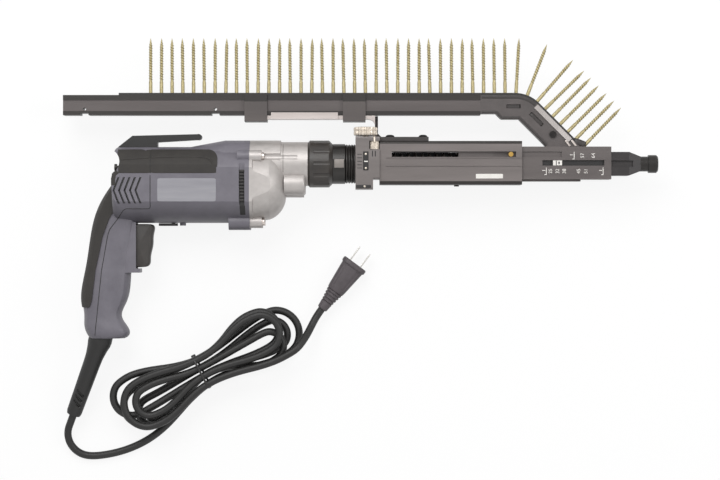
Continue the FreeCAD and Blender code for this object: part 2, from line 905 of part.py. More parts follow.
def chevron(name, step):
    """One pair of slanted vent slots, meeting in a point towards the rear, on both sides."""
    tip = rear_end + d.vent_start + d.vent_pitch * step
    open_end = tip + d.vent_slant
    middle = motor_height - d.vent_drop
    rise = d.vent_rise
    wide = d.vent_width
    return slab(name, "XY_Plane", [
        (tip, middle), (open_end, middle + rise), (open_end + wide, middle + rise), (tip + wide, middle),
        (open_end + wide, middle - rise), (open_end, middle - rise),
    ], (d.side_half_width + d.overrun) * 2)


vent_core = block(
    "vent_core",
    (rear_end, motor_height - d.barrel_radius, d.vent_depth - d.side_half_width),
    (-d.barrel_length, motor_height + d.barrel_radius, d.side_half_width - d.vent_depth),
)
vents = cut("vents", fuse("vent_marks", [
    chevron("chevron", step) for step in range(SIZES["vent_count"])
]), [vent_core])
rear_outer = fuse("rear_outer", [rear_flats, grip])
keep("rear_cover", cut("rear_cover", common("rear_form", [rear_outer, rear_region]), [
    web_cut, rear_room, switch_room, boot_room, boot_seat, vents, hook_screw_hole, *cover_screw_holes,
]))
keep("cover_screws", group("cover_screws", cover_screws))

# Rubber on the back of the grip and on the barrel's shoulders, moulded over the shells.
rubber_edge_shares = [
    (0.8, -0.05), (0.91, 0.04), (0.78, 0.134), (0.955, 0.207), (1.11, 0.317), (1.27, 0.518), (1.35, 0.7),
    (1.41, 0.744),
]
rubber_edge = [
    (-d.barrel_length - d.grip_depth * x, motor_height - d.grip_height * y) for x, y in rubber_edge_shares
]
rubber_region = slab(
    "rubber_region", "XY_Plane",
    [*rubber_edge, (seam_back, rubber_edge[-1][1]), (seam_back, rubber_edge[0][1])],
    (d.side_half_width + d.overrun) * 2,
)
keep("grip_overmould", cut("grip_overmould", common("grip_rubber", [
    grip_form("grip_rubber_form", d.rubber_thickness), rubber_region,
]), [grip, rear_barrel, *cover_screw_holes]))

band_skin = turned("band_skin", tube_outline(
    rear_end, d.barrel_length + d.rear_length, d.barrel_radius + d.rubber_thickness, d.barrel_radius,
), motor_height)
band_height = d.band_top + d.band_bottom
band_spans = [
    (rear_end + d.rear_round, -d.barrel_length - d.band_gap), (-d.barrel_length, -d.band_front),
]
band_corner_share, band_bulge_shares = 0.4, (0.1, 0.14)
bands = []
for start, end in band_spans:
    for side in (1, -1):
        outline = [
            (start, -d.band_bottom), (end, -d.band_bottom),
            (end, d.band_top - band_height * band_corner_share),
            (end - band_height * band_bulge_shares[0], d.band_top - band_height * band_bulge_shares[1],
             "arc"),
            (end - band_height * band_corner_share, d.band_top), (start, d.band_top),
        ]
        low = zero if side > 0 else -d.side_half_width
        half = slab("band_half", "XY_Plane", outline, d.side_half_width, both_ways=False, lift=low)
        bands.append(cut("band", common("band_form", [band_skin, half]), [web_cut, shoulder]))
keep("side_bands", group("side_bands", bands))

# Belt hook: a springy moulded arm on the housing's top, screwed to the rear cover.
hook_front = hook_rear + d.hook_length
hook_lift_share, hook_nose_share = 0.4, 0.3
hook_form = slab("hook_form", "XY_Plane", [
    (hook_rear, motor_height), (hook_rear, hook_base), (hook_rear + d.hook_ramp, hook_top),
    (hook_front - d.hook_tip, hook_top + d.hook_tip * hook_lift_share),
    (hook_front, hook_top - d.hook_tip * hook_nose_share, "arc"),
    (hook_front - d.hook_tip, hook_top - d.hook_tip), (hook_rear + d.hook_foot, hook_base + d.hook_gap),
    (hook_rear + d.hook_foot, motor_height),
], d.hook_half_width * 2)
hook_core = rod(
    "hook_core", "X", rear_end, motor_height, zero, d.barrel_radius, d.rear_length + d.barrel_length)
hook_sink = rod(
    "hook_sink", "Y", hook_screw_x, hook_screw_seat, zero, d.hook_screw_head, d.hook_rise)
keep("belt_hook", cut("belt_hook", hook_form, [hook_core, hook_sink, hook_screw_hole]))
keep("belt_hook_screw", fuse("belt_hook_screw", [
    rod("hook_screw_head", "Y", hook_screw_x, hook_screw_seat, zero, d.hook_screw_head, d.screw_head_height),
    rod("hook_screw_shank", "Y", hook_screw_x, hook_screw_seat - d.hook_screw_length, zero,
        d.hook_screw_radius, d.hook_screw_length),
]))

# Trigger, reverse lever, lock button and the switch that they work.
trigger_shares = [(1.0, 0.05), (0.92, 0.4, "arc"), (0.76, 0.88), (0.66, 0.97, "arc"), (0.45, 1.0)]
trigger_top_share = 0.9
trigger_front = [
    (shroud_front + d.trigger_reach * share[0], trigger_top - d.trigger_height * share[1], *share[2:])
    for share in trigger_shares
]
keep("trigger", slab("trigger", "XY_Plane", [
    (trigger_tail, trigger_top), (shroud_front + d.trigger_reach * trigger_top_share, trigger_top),
    *trigger_front,
    (trigger_tail, trigger_bottom),
], d.trigger_half_width * 2))

lever_back = lever_front - d.lever_length
lever_half = d.lever_width * 0.5
lever_level = -barrel_bottom + d.seat_clearance
keep("reverse_lever", fuse("reverse_lever", [
    slab("lever_plate", "XZ_Plane", [
        (lever_back, -lever_half * 0.5), (lever_pivot_x, -lever_half), (lever_front, zero, "arc"),
        (lever_pivot_x, lever_half), (lever_back, lever_half * 0.5),
    ], d.lever_thickness, both_ways=False, lift=lever_level),
    rod("lever_pivot", "Y", lever_pivot_x, -lever_level, zero, d.lever_pivot_radius,
        d.lever_pivot_depth),
]))
keep("lock_button", rod(
    "lock_button", "Z", button_x, -d.button_drop, -d.grip_half_width - d.button_proud,
    d.button_radius, d.button_length,
))
keep("switch_body", block("switch_body", switch_low, switch_high))

# Motor: field stack, armature on its shaft, commutator, brushes, fan and bearings. The stack
# grows with the barrel and leaves the room behind it for the brushes.
field_front = -d.field_setback
field_back = d.brush_room - d.barrel_length
keep("field_stack", turned("field_stack", tube_outline(
    field_back, field_front - field_back, d.barrel_bore - d.seat_clearance, d.field_bore,
), motor_height))
shaft_back = rear_end + d.housing_wall + d.shaft_clearance
gear_start = d.gear_setback
pinion_end = gear_start + d.gear_width + d.gear_room
commutator_front = field_back - d.commutator_gap
keep("armature", turned("armature", [
    (shaft_back, zero), (shaft_back, d.shaft_radius), (field_back, d.shaft_radius),
    (field_back, d.armature_radius), (field_front, d.armature_radius), (field_front, d.shaft_radius),
    (gear_start - d.gear_room, d.shaft_radius), (gear_start - d.gear_room, zero),
], motor_height))
keep("commutator", turned("commutator", tube_outline(
    commutator_front - d.commutator_length, d.commutator_length, d.commutator_radius, d.shaft_radius,
), motor_height))
brush_foot = d.commutator_radius + d.seat_clearance
keep("brush_holders", group("brush_holders", [
    block(
        "brush_holder",
        (commutator_front - (d.commutator_length + d.brush_width) * 0.5, motor_height - d.brush_width * 0.5,
         low),
        (commutator_front - (d.commutator_length - d.brush_width) * 0.5, motor_height + d.brush_width * 0.5,
         low + d.brush_reach),
    )
    for low in (brush_foot, -brush_foot - d.brush_reach)
]))
fan_back = -d.fan_setback
fan = turned("cooling_fan", tube_outline(
    fan_back, d.fan_thickness, d.fan_radius, d.shaft_radius), motor_height)
blade_shares = (0.4, 0.95)
fan_blade = pad(fan, outline_sketch(fan, "YZ_Plane", [
    (-d.fan_blade_width * 0.5, d.fan_radius * blade_shares[0]),
    (d.fan_blade_width * 0.5, d.fan_radius * blade_shares[0]),
    (d.fan_blade_width * 0.5, d.fan_radius * blade_shares[1]),
    (-d.fan_blade_width * 0.5, d.fan_radius * blade_shares[1]),
], lift=fan_back, sideways=motor_height), d.fan_blade_length, both_ways=False)
polar(fan, fan_blade, d.fan_blades)
keep("cooling_fan", fan)

# Bearings and the plate that closes the motor's front and carries the gears' tails.
plate_back = -d.plate_thickness
keep("rear_bearing", turned("rear_bearing", tube_outline(
    rear_end + d.housing_wall, d.bearing_width, d.bearing_radius, d.shaft_radius + d.shaft_clearance,
), motor_height))
keep("front_bearing", turned("front_bearing", tube_outline(
    plate_back, d.plate_thickness, d.bearing_radius, d.shaft_radius + d.shaft_clearance,
), motor_height))
plate_form = turned("plate_form", tube_outline(
    plate_back, d.plate_thickness, d.barrel_bore, d.bearing_radius), motor_height)
tail_hole = rod(
    "tail_hole", "X", -d.spindle_tail - d.shaft_clearance, zero, zero,
    d.spindle_tail_radius + d.shaft_clearance, d.spindle_tail + d.overrun,
)
keep("gear_plate", cut("gear_plate", plate_form, [tail_hole]))

# Gear pair: a pinion on the motor shaft drives the gear on the spindle.
tip_share, root_share, tooth_share, slope_share = 0.8, 1.0, 0.56, 0.36
sunk_share = 0.9


def gear_wheel(name, teeth, start, width, bore, axis_height, half_step):
    """A straight-toothed wheel: a turned blank and one tooth repeated round it. Half a step
    turns the wheel so that a tooth of its mate meets a gap."""
    pitch_radius = d.tooth_module * teeth * 0.5
    root = pitch_radius - d.tooth_module * root_share
    tip = pitch_radius + d.tooth_module * tip_share
    wheel = turned(name, tube_outline(start, width, root, bore), axis_height)
    turn = math.pi / SIZES[half_step] if half_step else 0
    half = d.tooth_module * tooth_share
    corners = [
        (root * sunk_share, half * (1 + slope_share)), (root, half * (1 + slope_share)),
        (tip, half * (1 - slope_share)), (tip, -half * (1 - slope_share)),
        (root, -half * (1 + slope_share)), (root * sunk_share, -half * (1 + slope_share)),
    ]
    outline = [
        (out * math.cos(turn) - side * math.sin(turn), out * math.sin(turn) + side * math.cos(turn))
        for out, side in corners
    ]
    tooth = pad(
        wheel, outline_sketch(wheel, "YZ_Plane", outline, lift=start, sideways=axis_height), width,
        both_ways=False)
    polar(wheel, tooth, teeth)
    return wheel


keep("motor_pinion", gear_wheel(
    "motor_pinion", d.pinion_teeth, gear_start - d.gear_room, d.gear_width + d.gear_room * 2, None,
    motor_height, "pinion_teeth"))
keep("spindle_gear", gear_wheel(
    "spindle_gear", d.gear_teeth, gear_start, d.gear_width, d.spindle_radius, zero, None))

# Gear case: one aluminium casting with a domed rear over the motor's end, a nose round
# the spindle, a boss for the pinion and lugs for its screws.
dome_shares = [(0.1, 0.96), (0.55, 0.91), (0.87, 0.68, "arc"), (1.0, 0.34)]
dome = turned("case_dome", [
    (zero, zero), (zero, d.barrel_radius), (d.case_rim, d.barrel_radius),
    *[(d.case_dome_length * share[0], d.barrel_radius * share[1], *share[2:]) for share in dome_shares],
    (d.case_dome_length, zero),
], motor_height)
case_head = turned("case_head", [
    (zero, zero), (zero, d.flange_radius), (d.case_step, d.flange_radius), (d.case_step, d.case_nose_radius),
    (d.case_length, d.case_nose_radius), (d.case_length, d.case_spigot_radius),
    (adapter_start, d.case_spigot_radius), (adapter_start, zero),
])
case_boss = rod("case_boss", "X", zero, motor_height, zero, d.case_boss_radius, d.case_boss_length)
case_lugs = [
    rod("case_lug", "X", zero, y, z, d.lug_radius, d.lug_length) for y, z in case_screw_spots
]
access = [
    rod("case_access", "X", d.lug_length, y, z, d.screw_head_radius + d.seat_clearance, d.case_dome_length)
    for y, z in case_screw_spots
]
gear_tip = d.tooth_module * (d.gear_teeth * 0.5 + tip_share)
pinion_tip = d.tooth_module * (d.pinion_teeth * 0.5 + tip_share)
gear_space = rod("gear_space", "X", zero, zero, zero, gear_tip + d.gear_room, pinion_end + d.gear_room)
pinion_space = rod(
    "pinion_space", "X", zero, motor_height, zero, pinion_tip + d.gear_room, pinion_end + d.gear_room)
sleeve_seat = rod("sleeve_seat", "X", zero, zero, zero, d.sleeve_radius, d.case_step + d.sleeve_length)
case_bore = rod("case_bore", "X", zero, zero, zero, d.spindle_bore, adapter_start + d.overrun)
case_outer = fuse("case_outer", [common("dome_flats", [dome, side_limit]), case_head, case_boss, *case_lugs])
keep("gear_case", cut("gear_case", case_outer, [
    *access, gear_space, pinion_space, sleeve_seat, case_bore, *case_screw_holes,
]))
keep("gear_case_screws", group("gear_case_screws", [
    fuse("case_screw", [
        rod("case_screw_head", "X", d.lug_length, y, z, d.screw_head_radius, d.screw_head_height),
        rod("case_screw_shank", "X", d.lug_length - d.screw_shank_length, y, z, d.screw_shank_radius,
            d.screw_shank_length),
    ])
    for y, z in case_screw_spots
]))

# Spindle with its bearing sleeve and the long bit in its socket.
spindle_end = adapter_start + d.spindle_front
keep("spindle_bearing", turned("spindle_bearing", tube_outline(
    d.case_step, d.sleeve_length, d.sleeve_radius, d.spindle_radius + d.shaft_clearance)))
keep("spindle", turned("spindle", [
    (-d.spindle_tail, zero), (-d.spindle_tail, d.spindle_tail_radius), (gear_start, d.spindle_tail_radius),
    (gear_start, d.spindle_radius), (spindle_end, d.spindle_radius), (spindle_end, d.bit_radius),
    (spindle_end - d.bit_socket, d.bit_radius), (spindle_end - d.bit_socket, zero),
]))
bit_start = spindle_end - d.bit_socket
bit_end = bit_start + d.bit_length
bit_taper = d.bit_radius * 2
keep("drive_bit", turned("drive_bit", [
    (bit_start, zero), (bit_start, d.bit_radius), (bit_end - bit_taper, d.bit_radius),
    (bit_end, d.bit_radius * 0.5), (bit_end, zero),
]))

# Nose collar: a fluted ring that turns on the case's spigot and locks the adapter.
collar_end = adapter_start
collar_form = turned("collar_form", [
    (collar_start, d.case_spigot_radius + d.shaft_clearance),
    (collar_end, d.case_spigot_radius + d.shaft_clearance),
    (collar_end, d.collar_radius - d.collar_chamfer * 2),
    (collar_end - d.collar_chamfer * 2, d.collar_radius), (collar_start + d.collar_chamfer, d.collar_radius),
    (collar_start, d.collar_radius - d.collar_chamfer),
])


def flutes(name, role, lift, length, ring, radius, count, sideways=zero, across=zero):
    """Rods set evenly on a ring, to cut finger flutes."""
    body = new_body(name)
    sketch = outline_sketch(body, role, [
        (ring - radius, zero), (ring, radius, "arc"), (ring + radius, zero), (ring, -radius, "arc"),
    ], lift=lift, sideways=sideways, across=across)
    polar(body, pad(body, sketch, length, both_ways=False), count)
    return body


flute_share = 0.7
keep("nose_collar", cut("nose_collar", collar_form, [flutes(
    "collar_flutes", "YZ_Plane", collar_start + d.collar_chamfer * 3, d.collar_length,
    d.collar_radius + d.collar_flute_radius * flute_share, d.collar_flute_radius, d.collar_flutes)]))

# Adapter sleeve: flats for a spanner, a coarse thread and a spigot in the clamp block.
groove_share, crest_share = 0.2, 0.7
ring_pitch = d.adapter_thread_length / SIZES["adapter_thread_rings"]
thread = []
for ring in range(SIZES["adapter_thread_rings"]):
    ring_start = thread_start + ring_pitch * ring
    thread.append((ring_start + ring_pitch * groove_share, d.adapter_thread_radius - d.adapter_thread_depth))
    thread.append((ring_start + ring_pitch * 0.5, d.adapter_thread_radius))
    thread.append((ring_start + ring_pitch * crest_share, d.adapter_thread_radius))
adapter_form = turned("adapter_form", [
    (adapter_start, d.adapter_bore), (adapter_start, d.adapter_radius), (thread_start, d.adapter_radius),
    *thread, (block_start, d.adapter_thread_radius - d.adapter_thread_depth),
    (block_start, d.adapter_spigot_radius),
    (block_start + d.adapter_spigot_length, d.adapter_spigot_radius),
    (block_start + d.adapter_spigot_length, d.adapter_bore),
])
adapter_flats = [
    block(
        "adapter_flat",
        (adapter_start, -d.adapter_radius, low),
        (thread_start, d.adapter_radius, low + d.overrun),
    )
    for low in (d.adapter_flat, -d.adapter_flat - d.overrun)
]
keep("adapter_sleeve", cut("adapter_sleeve", adapter_form, adapter_flats))

# Clamp block with its thumbwheel, lock nut and depth index.
wheel_shares = (0.42, 0.4)
wheel_x = block_start + d.block_length * wheel_shares[0]
wheel_z = d.block_half_width * wheel_shares[1]
wheel_base = d.block_top + d.wheel_lift
stem_bottom = d.block_top - d.wheel_stem_depth
nut_x = outer_start - d.nut_setback
nut_z = d.block_half_width - d.nut_depth
nut_bottom = d.nut_top - d.nut_height
block_form = slab("block_form", "XY_Plane", [
    (block_start, d.block_top), (outer_start, d.block_top), (outer_start, -d.block_bottom),
    (block_start + d.block_foot_length, -d.block_bottom),
    (block_start + d.block_foot_length, -d.block_foot_drop), (block_start, -d.block_foot_drop),
], d.block_half_width * 2)
block_rounded = rounded(
    "block_rounded", block_form, d.block_round, lambda edge: along(edge, Vector(1, 0, 0)))
spigot_seat = rod(
    "spigot_seat", "X", block_start, zero, zero, d.adapter_spigot_radius + d.shaft_clearance,
    d.adapter_spigot_length)
block_bore = rod("block_bore", "X", block_start, zero, zero, d.adapter_bore, d.block_length)
stem_hole = rod(
    "stem_hole", "Y", wheel_x, stem_bottom, wheel_z, d.wheel_stem_radius + d.shaft_clearance,
    d.wheel_stem_depth)
nut_room = block(
    "nut_room",
    (nut_x - d.nut_radius - d.seat_clearance, nut_bottom, nut_z - d.nut_radius - d.seat_clearance),
    (outer_start, d.nut_top, d.block_half_width),
)
nut_hole = rod(
    "nut_hole", "Y", nut_x, d.nut_top, nut_z, d.nut_stem_radius + d.shaft_clearance, d.nut_stem_rise)
index_x = block_start + d.index_setback
index_low = (index_x, d.index_top - d.index_height, d.block_half_width - d.index_thickness)
index_high = (index_x + d.index_length, d.index_top, d.block_half_width)
index_room = block("index_room", index_low, index_high)
keep("clamp_block", cut("clamp_block", block_rounded, [
    spigot_seat, block_bore, stem_hole, nut_room, nut_hole, index_room,
]))
wheel_form = fuse("wheel_form", [
    rod("wheel_rim", "Y", wheel_x, wheel_base, wheel_z, d.wheel_radius, d.wheel_height),
    rod("wheel_stem", "Y", wheel_x, stem_bottom, wheel_z, d.wheel_stem_radius,
        d.wheel_stem_depth + d.wheel_lift),
])
keep("clamp_thumbwheel", cut("clamp_thumbwheel", wheel_form, [flutes(
    "wheel_flutes", "XZ_Plane", -wheel_base - d.wheel_height, d.wheel_height, d.wheel_radius,
    d.wheel_flute_radius, d.wheel_flutes, sideways=wheel_x, across=wheel_z)]))
keep("lock_nut", fuse("lock_nut", [
    rod("nut_ring", "Y", nut_x, nut_bottom, nut_z, d.nut_radius, d.nut_height),
    rod("nut_stem", "Y", nut_x, d.nut_top, nut_z, d.nut_stem_radius, d.nut_stem_rise),
]))
keep("depth_index", block("depth_index", index_low, index_high))

# Outer housing: an aluminium extrusion, slotted along both sides and open at its front,
# with a mouth in its top that the front guide runs into.
bracket_screw_spots = [outer_start + d.bracket_screw_first, outer_start + d.bracket_screw_second]
bracket_top = d.outer_top + d.bracket_thickness
bracket_screw_holes = [
    rod("bracket_screw_hole", "Y", x, bracket_top - d.bracket_screw_depth, zero, d.bracket_screw_radius,
        d.bracket_screw_depth)
    for x in bracket_screw_spots
]
outer_form = rounded("outer_rounded", block(
    "outer_form",
    (outer_start, -d.outer_bottom, -d.outer_half_width), (outer_end, d.outer_top, d.outer_half_width),
), d.outer_round, lambda edge: along(edge, Vector(1, 0, 0)))
slide_room = block(
    "slide_room",
    (outer_start, -d.slide_bottom - d.slide_keel_drop - d.slide_clearance,
     -d.slide_half_width - d.slide_clearance),
    (outer_end, d.slide_top + d.slide_clearance, d.slide_half_width + d.slide_clearance),
)
outer_slot = block(
    "outer_slot",
    (outer_start + d.outer_slot_start, d.outer_slot_bottom, -d.outer_half_width),
    (outer_start + d.outer_slot_end, d.outer_slot_top, d.outer_half_width),
)
mouth_half = d.guide_half_width + d.axle_head_height + d.slide_clearance
outer_mouth = block(
    "outer_mouth", (outer_end - d.feed_travel + d.mouth_relief, d.slide_top, -mouth_half),
    (outer_end, d.outer_top, mouth_half))
outer_grooves = [
    block(
        "outer_groove",
        (outer_start + d.outer_groove_start, height, d.outer_half_width * side - d.outer_groove_depth),
        (outer_end, height + d.outer_groove_width, d.outer_half_width * side + d.outer_groove_depth),
    )
    for height in (d.outer_groove_upper, -d.outer_groove_lower - d.outer_groove_width)
    for side in (1, -1)
]
outer_nub = rod(
    "outer_nub", "Y", outer_start + d.nub_place, -d.outer_bottom - d.nub_height, zero, d.nub_radius,
    d.nub_height + d.outer_groove_depth)
keep("outer_housing", cut("outer_housing", fuse("outer_nubbed", [outer_form, outer_nub]), [
    slide_room, outer_slot, outer_mouth, *outer_grooves, *bracket_screw_holes,
]))

# Magazine bracket, its screws, the bar that it carries and the two clips on the bar.
arm_front = outer_start - d.bracket_arm_gap
arm_back = arm_front - d.bracket_arm
arm_base = d.block_top + d.seat_clearance
plate_rear = outer_start + d.seat_clearance
bar_bottom = d.bar_top - d.bar_thickness
bracket_plate = block(
    "bracket_plate", (plate_rear, d.outer_top, -d.bracket_half_width),
    (plate_rear + d.bracket_length, bracket_top, d.bracket_half_width))
bracket_arm = slab("bracket_arm", "XY_Plane", [
    (arm_back, arm_base), (plate_rear, arm_base), (plate_rear, d.outer_top),
    (plate_rear + d.bracket_bend * 2, d.outer_top), (plate_rear + d.bracket_bend * 2, bracket_top),
    (arm_front + d.bracket_bend, bracket_top), (arm_front, bracket_top + d.bracket_bend),
    (arm_front, d.bar_top), (arm_back, d.bar_top),
], d.bracket_arm_width, both_ways=False, lift=-d.bracket_half_width)
keep("magazine_bracket", cut(
    "magazine_bracket", fuse("bracket_form", [bracket_plate, bracket_arm]), bracket_screw_holes))
keep("bracket_screws", group("bracket_screws", [
    fuse("bracket_screw", [
        rod("bracket_screw_head", "Y", x, bracket_top, zero, d.bracket_screw_head, d.bracket_screw_height),
        rod("bracket_screw_shank", "Y", x, bracket_top - d.bracket_screw_depth, zero, d.bracket_screw_radius,
            d.bracket_screw_depth),
    ])
    for x in bracket_screw_spots
]))
clip_inner = d.rail_half_width + d.slide_clearance
bar_half = clip_inner - d.shaft_clearance
corner_middle = d.bar_corner * (1 - math.sqrt(0.5))
bar_strip = slab("bar_strip", "XY_Plane", [
    (-d.bar_rear, d.bar_top), (arm_back, d.bar_top), (arm_back, bar_bottom - d.bar_corner),
    (arm_back - corner_middle, bar_bottom - corner_middle, "arc"),
    (arm_back - d.bar_corner, bar_bottom), (-d.bar_rear, bar_bottom),
], bar_half * 2)
bar_tabs = [
    block(
        "bar_tab", (d.bar_tab_start, bar_bottom, low),
        (d.bar_tab_start + d.bar_tab_length, d.bar_top + d.bar_tab_height, low + d.bar_tab_thickness),
    )
    for low in (bar_half, -bar_half - d.bar_tab_thickness)
]
keep("magazine_bar", fuse("magazine_bar", [bar_strip, *bar_tabs]))
clip_outer = clip_inner + d.clip_wall
clip_base = bar_bottom - d.clip_wall
lip_under = d.rail_top + d.slide_clearance
lip_top = lip_under + d.clip_wall * 0.5
lip_inner = clip_inner - d.clip_lip
for number, label in enumerate(("rear_clip", "front_clip")):
    keep(label, slab(label, "YZ_Plane", [
        (clip_base, -clip_outer), (lip_top, -clip_outer), (lip_top, -lip_inner), (lip_under, -lip_inner),
        (lip_under, -clip_inner), (bar_bottom, -clip_inner), (bar_bottom, clip_inner),
        (lip_under, clip_inner),
        (lip_under, lip_inner), (lip_top, lip_inner), (lip_top, clip_outer), (clip_base, clip_outer),
    ], d.clip_length, both_ways=False, lift=-d.clip_rear + d.clip_spacing * number))

# Magazine rail: an extruded channel that slides in the clips with the feed slide.
rail_bottom = d.rail_top - d.rail_height
rail_waist = d.rail_half_width - d.rail_waist
rail_half_outline = [
    (d.rail_top, d.rail_channel_half), (d.rail_top, d.rail_half_width),
    (d.rail_top - d.rail_cap, d.rail_half_width), (d.rail_top - d.rail_cap, rail_waist),
    (rail_bottom + d.rail_base, rail_waist), (rail_bottom + d.rail_base, d.rail_half_width),
    (rail_bottom, d.rail_half_width),
]
rail_form = slab("rail_form", "YZ_Plane", [
    (d.rail_floor, d.rail_channel_half), *rail_half_outline,
    *[(y, -z) for y, z in reversed(rail_half_outline)], (d.rail_floor, -d.rail_channel_half),
], d.rail_length, both_ways=False, lift=rail_rear_end)
rail_marks = [rail_rear_end + d.rail_hole_rear, rail_rear_end + d.rail_hole_front]
rail_holes = [
    rod("rail_hole", "Z", x, d.rail_hole_height, -d.rail_half_width, d.rail_hole_radius,
        d.rail_half_width * 2)
    for x in rail_marks
]
rail_notches = [
    block(
        "rail_notch", (x - d.rail_notch_length * 0.5, rail_bottom, -d.rail_half_width),
        (x + d.rail_notch_length * 0.5, rail_bottom + d.rail_notch_depth, d.rail_half_width),
    )
    for x in rail_marks
]
keep("magazine_rail", cut("magazine_rail", rail_form, [*rail_holes, *rail_notches]))

# Line that the strip follows: level along the rail's top, round the bend, then down at
# half a right angle into the feed slide. Offsets are measured out from the rail's top.
slope = math.sqrt(0.5)
half_slope = (math.sin(math.pi / 8), math.cos(math.pi / 8))
bend_height = d.rail_top - d.guide_bend_radius


def on_bend(out, part):
    """A point of the bend at an offset, where part holds the sine and cosine of its turn."""
    reach = d.guide_bend_radius + out
    return d.guide_bend_start + reach * part[0], bend_height + reach * part[1]


def on_slope(run, out):
    """A point past the bend, at a run along the slope and an offset from it."""
    x, y = on_bend(out, (slope, slope))
    return x + run * slope, y - run * slope


def strip_band(start, low, high, run):
    """The outline of a band along the strip's line between two offsets."""
    return [
        (start, d.rail_top + low), (d.guide_bend_start, d.rail_top + low), (*on_bend(low, half_slope), "arc"),
        on_bend(low, (slope, slope)), on_slope(run, low), on_slope(run, high),
        on_bend(high, (slope, slope)), (*on_bend(high, half_slope), "arc"),
        (d.guide_bend_start, d.rail_top + high), (start, d.rail_top + high),
    ]


def screw_spot(number):
    """Where a screw crosses the rail's top line, and how far it leans, in radians."""
    run = -float(d.screw_first) + float(d.screw_pitch) * number - float(d.guide_bend_start)
    radius = float(d.guide_bend_radius)
    if run <= 0:
        return float(d.guide_bend_start) + run, float(d.rail_top), 0.0
    lean = min(run / radius, math.pi / 4)
    past = run - radius * lean
    x = float(d.guide_bend_start) + radius * math.sin(lean) + past * math.cos(lean)
    y = float(bend_height) + radius * math.cos(lean) - past * math.sin(lean)
    return x, y, lean


bend_length = d.guide_bend_radius * (math.pi / 4)
last_run = d.screw_pitch * (d.screw_count - 1) - d.screw_first - d.guide_bend_start - bend_length
strip_run = last_run + d.screw_pitch * 0.5
channel_run = strip_run + d.slide_clearance
channel_floor = d.rail_floor - d.rail_top
channel = slab(
    "channel", "XY_Plane", strip_band(rail_front, channel_floor, d.screw_length, channel_run),
    d.rail_channel_half * 2)

# Front guide: turns the strip down into the slide, with the sprocket that pulls it.
guide_rear_y = d.rail_top - d.guide_rear_drop
guide_belly_y = d.rail_top - d.guide_belly_drop
slope_drop = on_bend(zero, (slope, slope))[1] - d.slide_top
guide_front = on_slope(slope_drop / slope, zero)
guide_back_x = guide_front[0] - d.guide_throat
guide_form = slab("guide_form", "XY_Plane", [
    (rail_front, d.rail_top), (d.guide_bend_start, d.rail_top), (*on_bend(zero, half_slope), "arc"),
    on_bend(zero, (slope, slope)), guide_front, (guide_back_x, d.slide_top),
    (guide_back_x - guide_belly_y + d.slide_top, guide_belly_y),
    (rail_front + d.guide_belly_start + d.guide_belly_drop - d.guide_rear_drop, guide_belly_y),
    (rail_front + d.guide_belly_start, guide_rear_y), (rail_front, guide_rear_y),
], d.guide_half_width * 2)
sprocket_x, sprocket_y = on_slope(d.sprocket_along, -d.sprocket_drop)
sprocket_half = d.sprocket_inner + d.sprocket_disc
sprocket_room = rod(
    "sprocket_room", "Z", sprocket_x, sprocket_y, -sprocket_half - d.seat_clearance,
    d.sprocket_radius + d.slide_clearance, (sprocket_half + d.seat_clearance) * 2)
axle_hole = rod(
    "axle_hole", "Z", sprocket_x, sprocket_y, -d.guide_half_width, d.axle_radius, d.guide_half_width * 2)
slot_top = d.rail_floor - d.guide_slot_gap
level_slot = block(
    "level_slot",
    (d.guide_bend_start - d.guide_slot_place, slot_top - d.guide_slot_width, -d.guide_half_width),
    (d.guide_bend_start - d.guide_slot_place + d.guide_slot_length, slot_top, d.guide_half_width),
)
slant_high = channel_floor - d.guide_slot_gap
slant_low = slant_high - d.guide_slot_width
slant_end = d.guide_slant_start + d.guide_slant_length
slant_slot = slab("slant_slot", "XY_Plane", [
    on_slope(d.guide_slant_start, slant_low), on_slope(slant_end, slant_low),
    on_slope(slant_end, slant_high), on_slope(d.guide_slant_start, slant_high),
], d.guide_half_width * 2)
keep("front_guide", cut("front_guide", guide_form, [
    channel, sprocket_room, axle_hole, level_slot, slant_slot,
]))
cover_low = -d.cover_strip_width
keep("guide_cover", slab("guide_cover", "XY_Plane", [
    on_slope(zero, cover_low), on_slope(d.cover_strip_length, cover_low),
    on_slope(d.cover_strip_length, zero), on_slope(zero, zero),
], d.cover_strip_thickness, both_ways=False, lift=d.guide_half_width))
keep("sprocket_axle", fuse("sprocket_axle", [
    rod("axle_rod", "Z", sprocket_x, sprocket_y, -d.guide_half_width, d.axle_radius, d.guide_half_width * 2),
    *[
        rod("axle_head", "Z", sprocket_x, sprocket_y, low, d.axle_head_radius, d.axle_head_height)
        for low in (d.guide_half_width, -d.guide_half_width - d.axle_head_height)
    ],
]))
tooth_count = SIZES["sprocket_teeth"]
star_shares = [(-0.5, 0), (-0.22, 0), (-0.1, 1), (0.1, 1), (0.22, 0)]
star = []
for tooth in range(tooth_count):
    for turn, tall in star_shares:
        angle = 2 * math.pi * (tooth + turn) / tooth_count
        reach = d.sprocket_root + (d.sprocket_radius - d.sprocket_root) * tall
        star.append((sprocket_x + reach * math.cos(angle), sprocket_y + reach * math.sin(angle)))
discs = [
    slab("sprocket_disc", "XY_Plane", star, d.sprocket_disc, both_ways=False, lift=low)
    for low in (d.sprocket_inner, -sprocket_half)
]
sprocket_hub = rod(
    "sprocket_hub", "Z", sprocket_x, sprocket_y, -sprocket_half, d.sprocket_hub, sprocket_half * 2)
sprocket_bore = rod(
    "sprocket_bore", "Z", sprocket_x, sprocket_y, -sprocket_half, d.axle_radius + d.shaft_clearance,
    sprocket_half * 2)
keep("feed_sprocket", cut("feed_sprocket", fuse("sprocket_form", [*discs, sprocket_hub]), [sprocket_bore]))

# Collation strip and its screws, heads down in the rail's channel.
screw_sides = 8


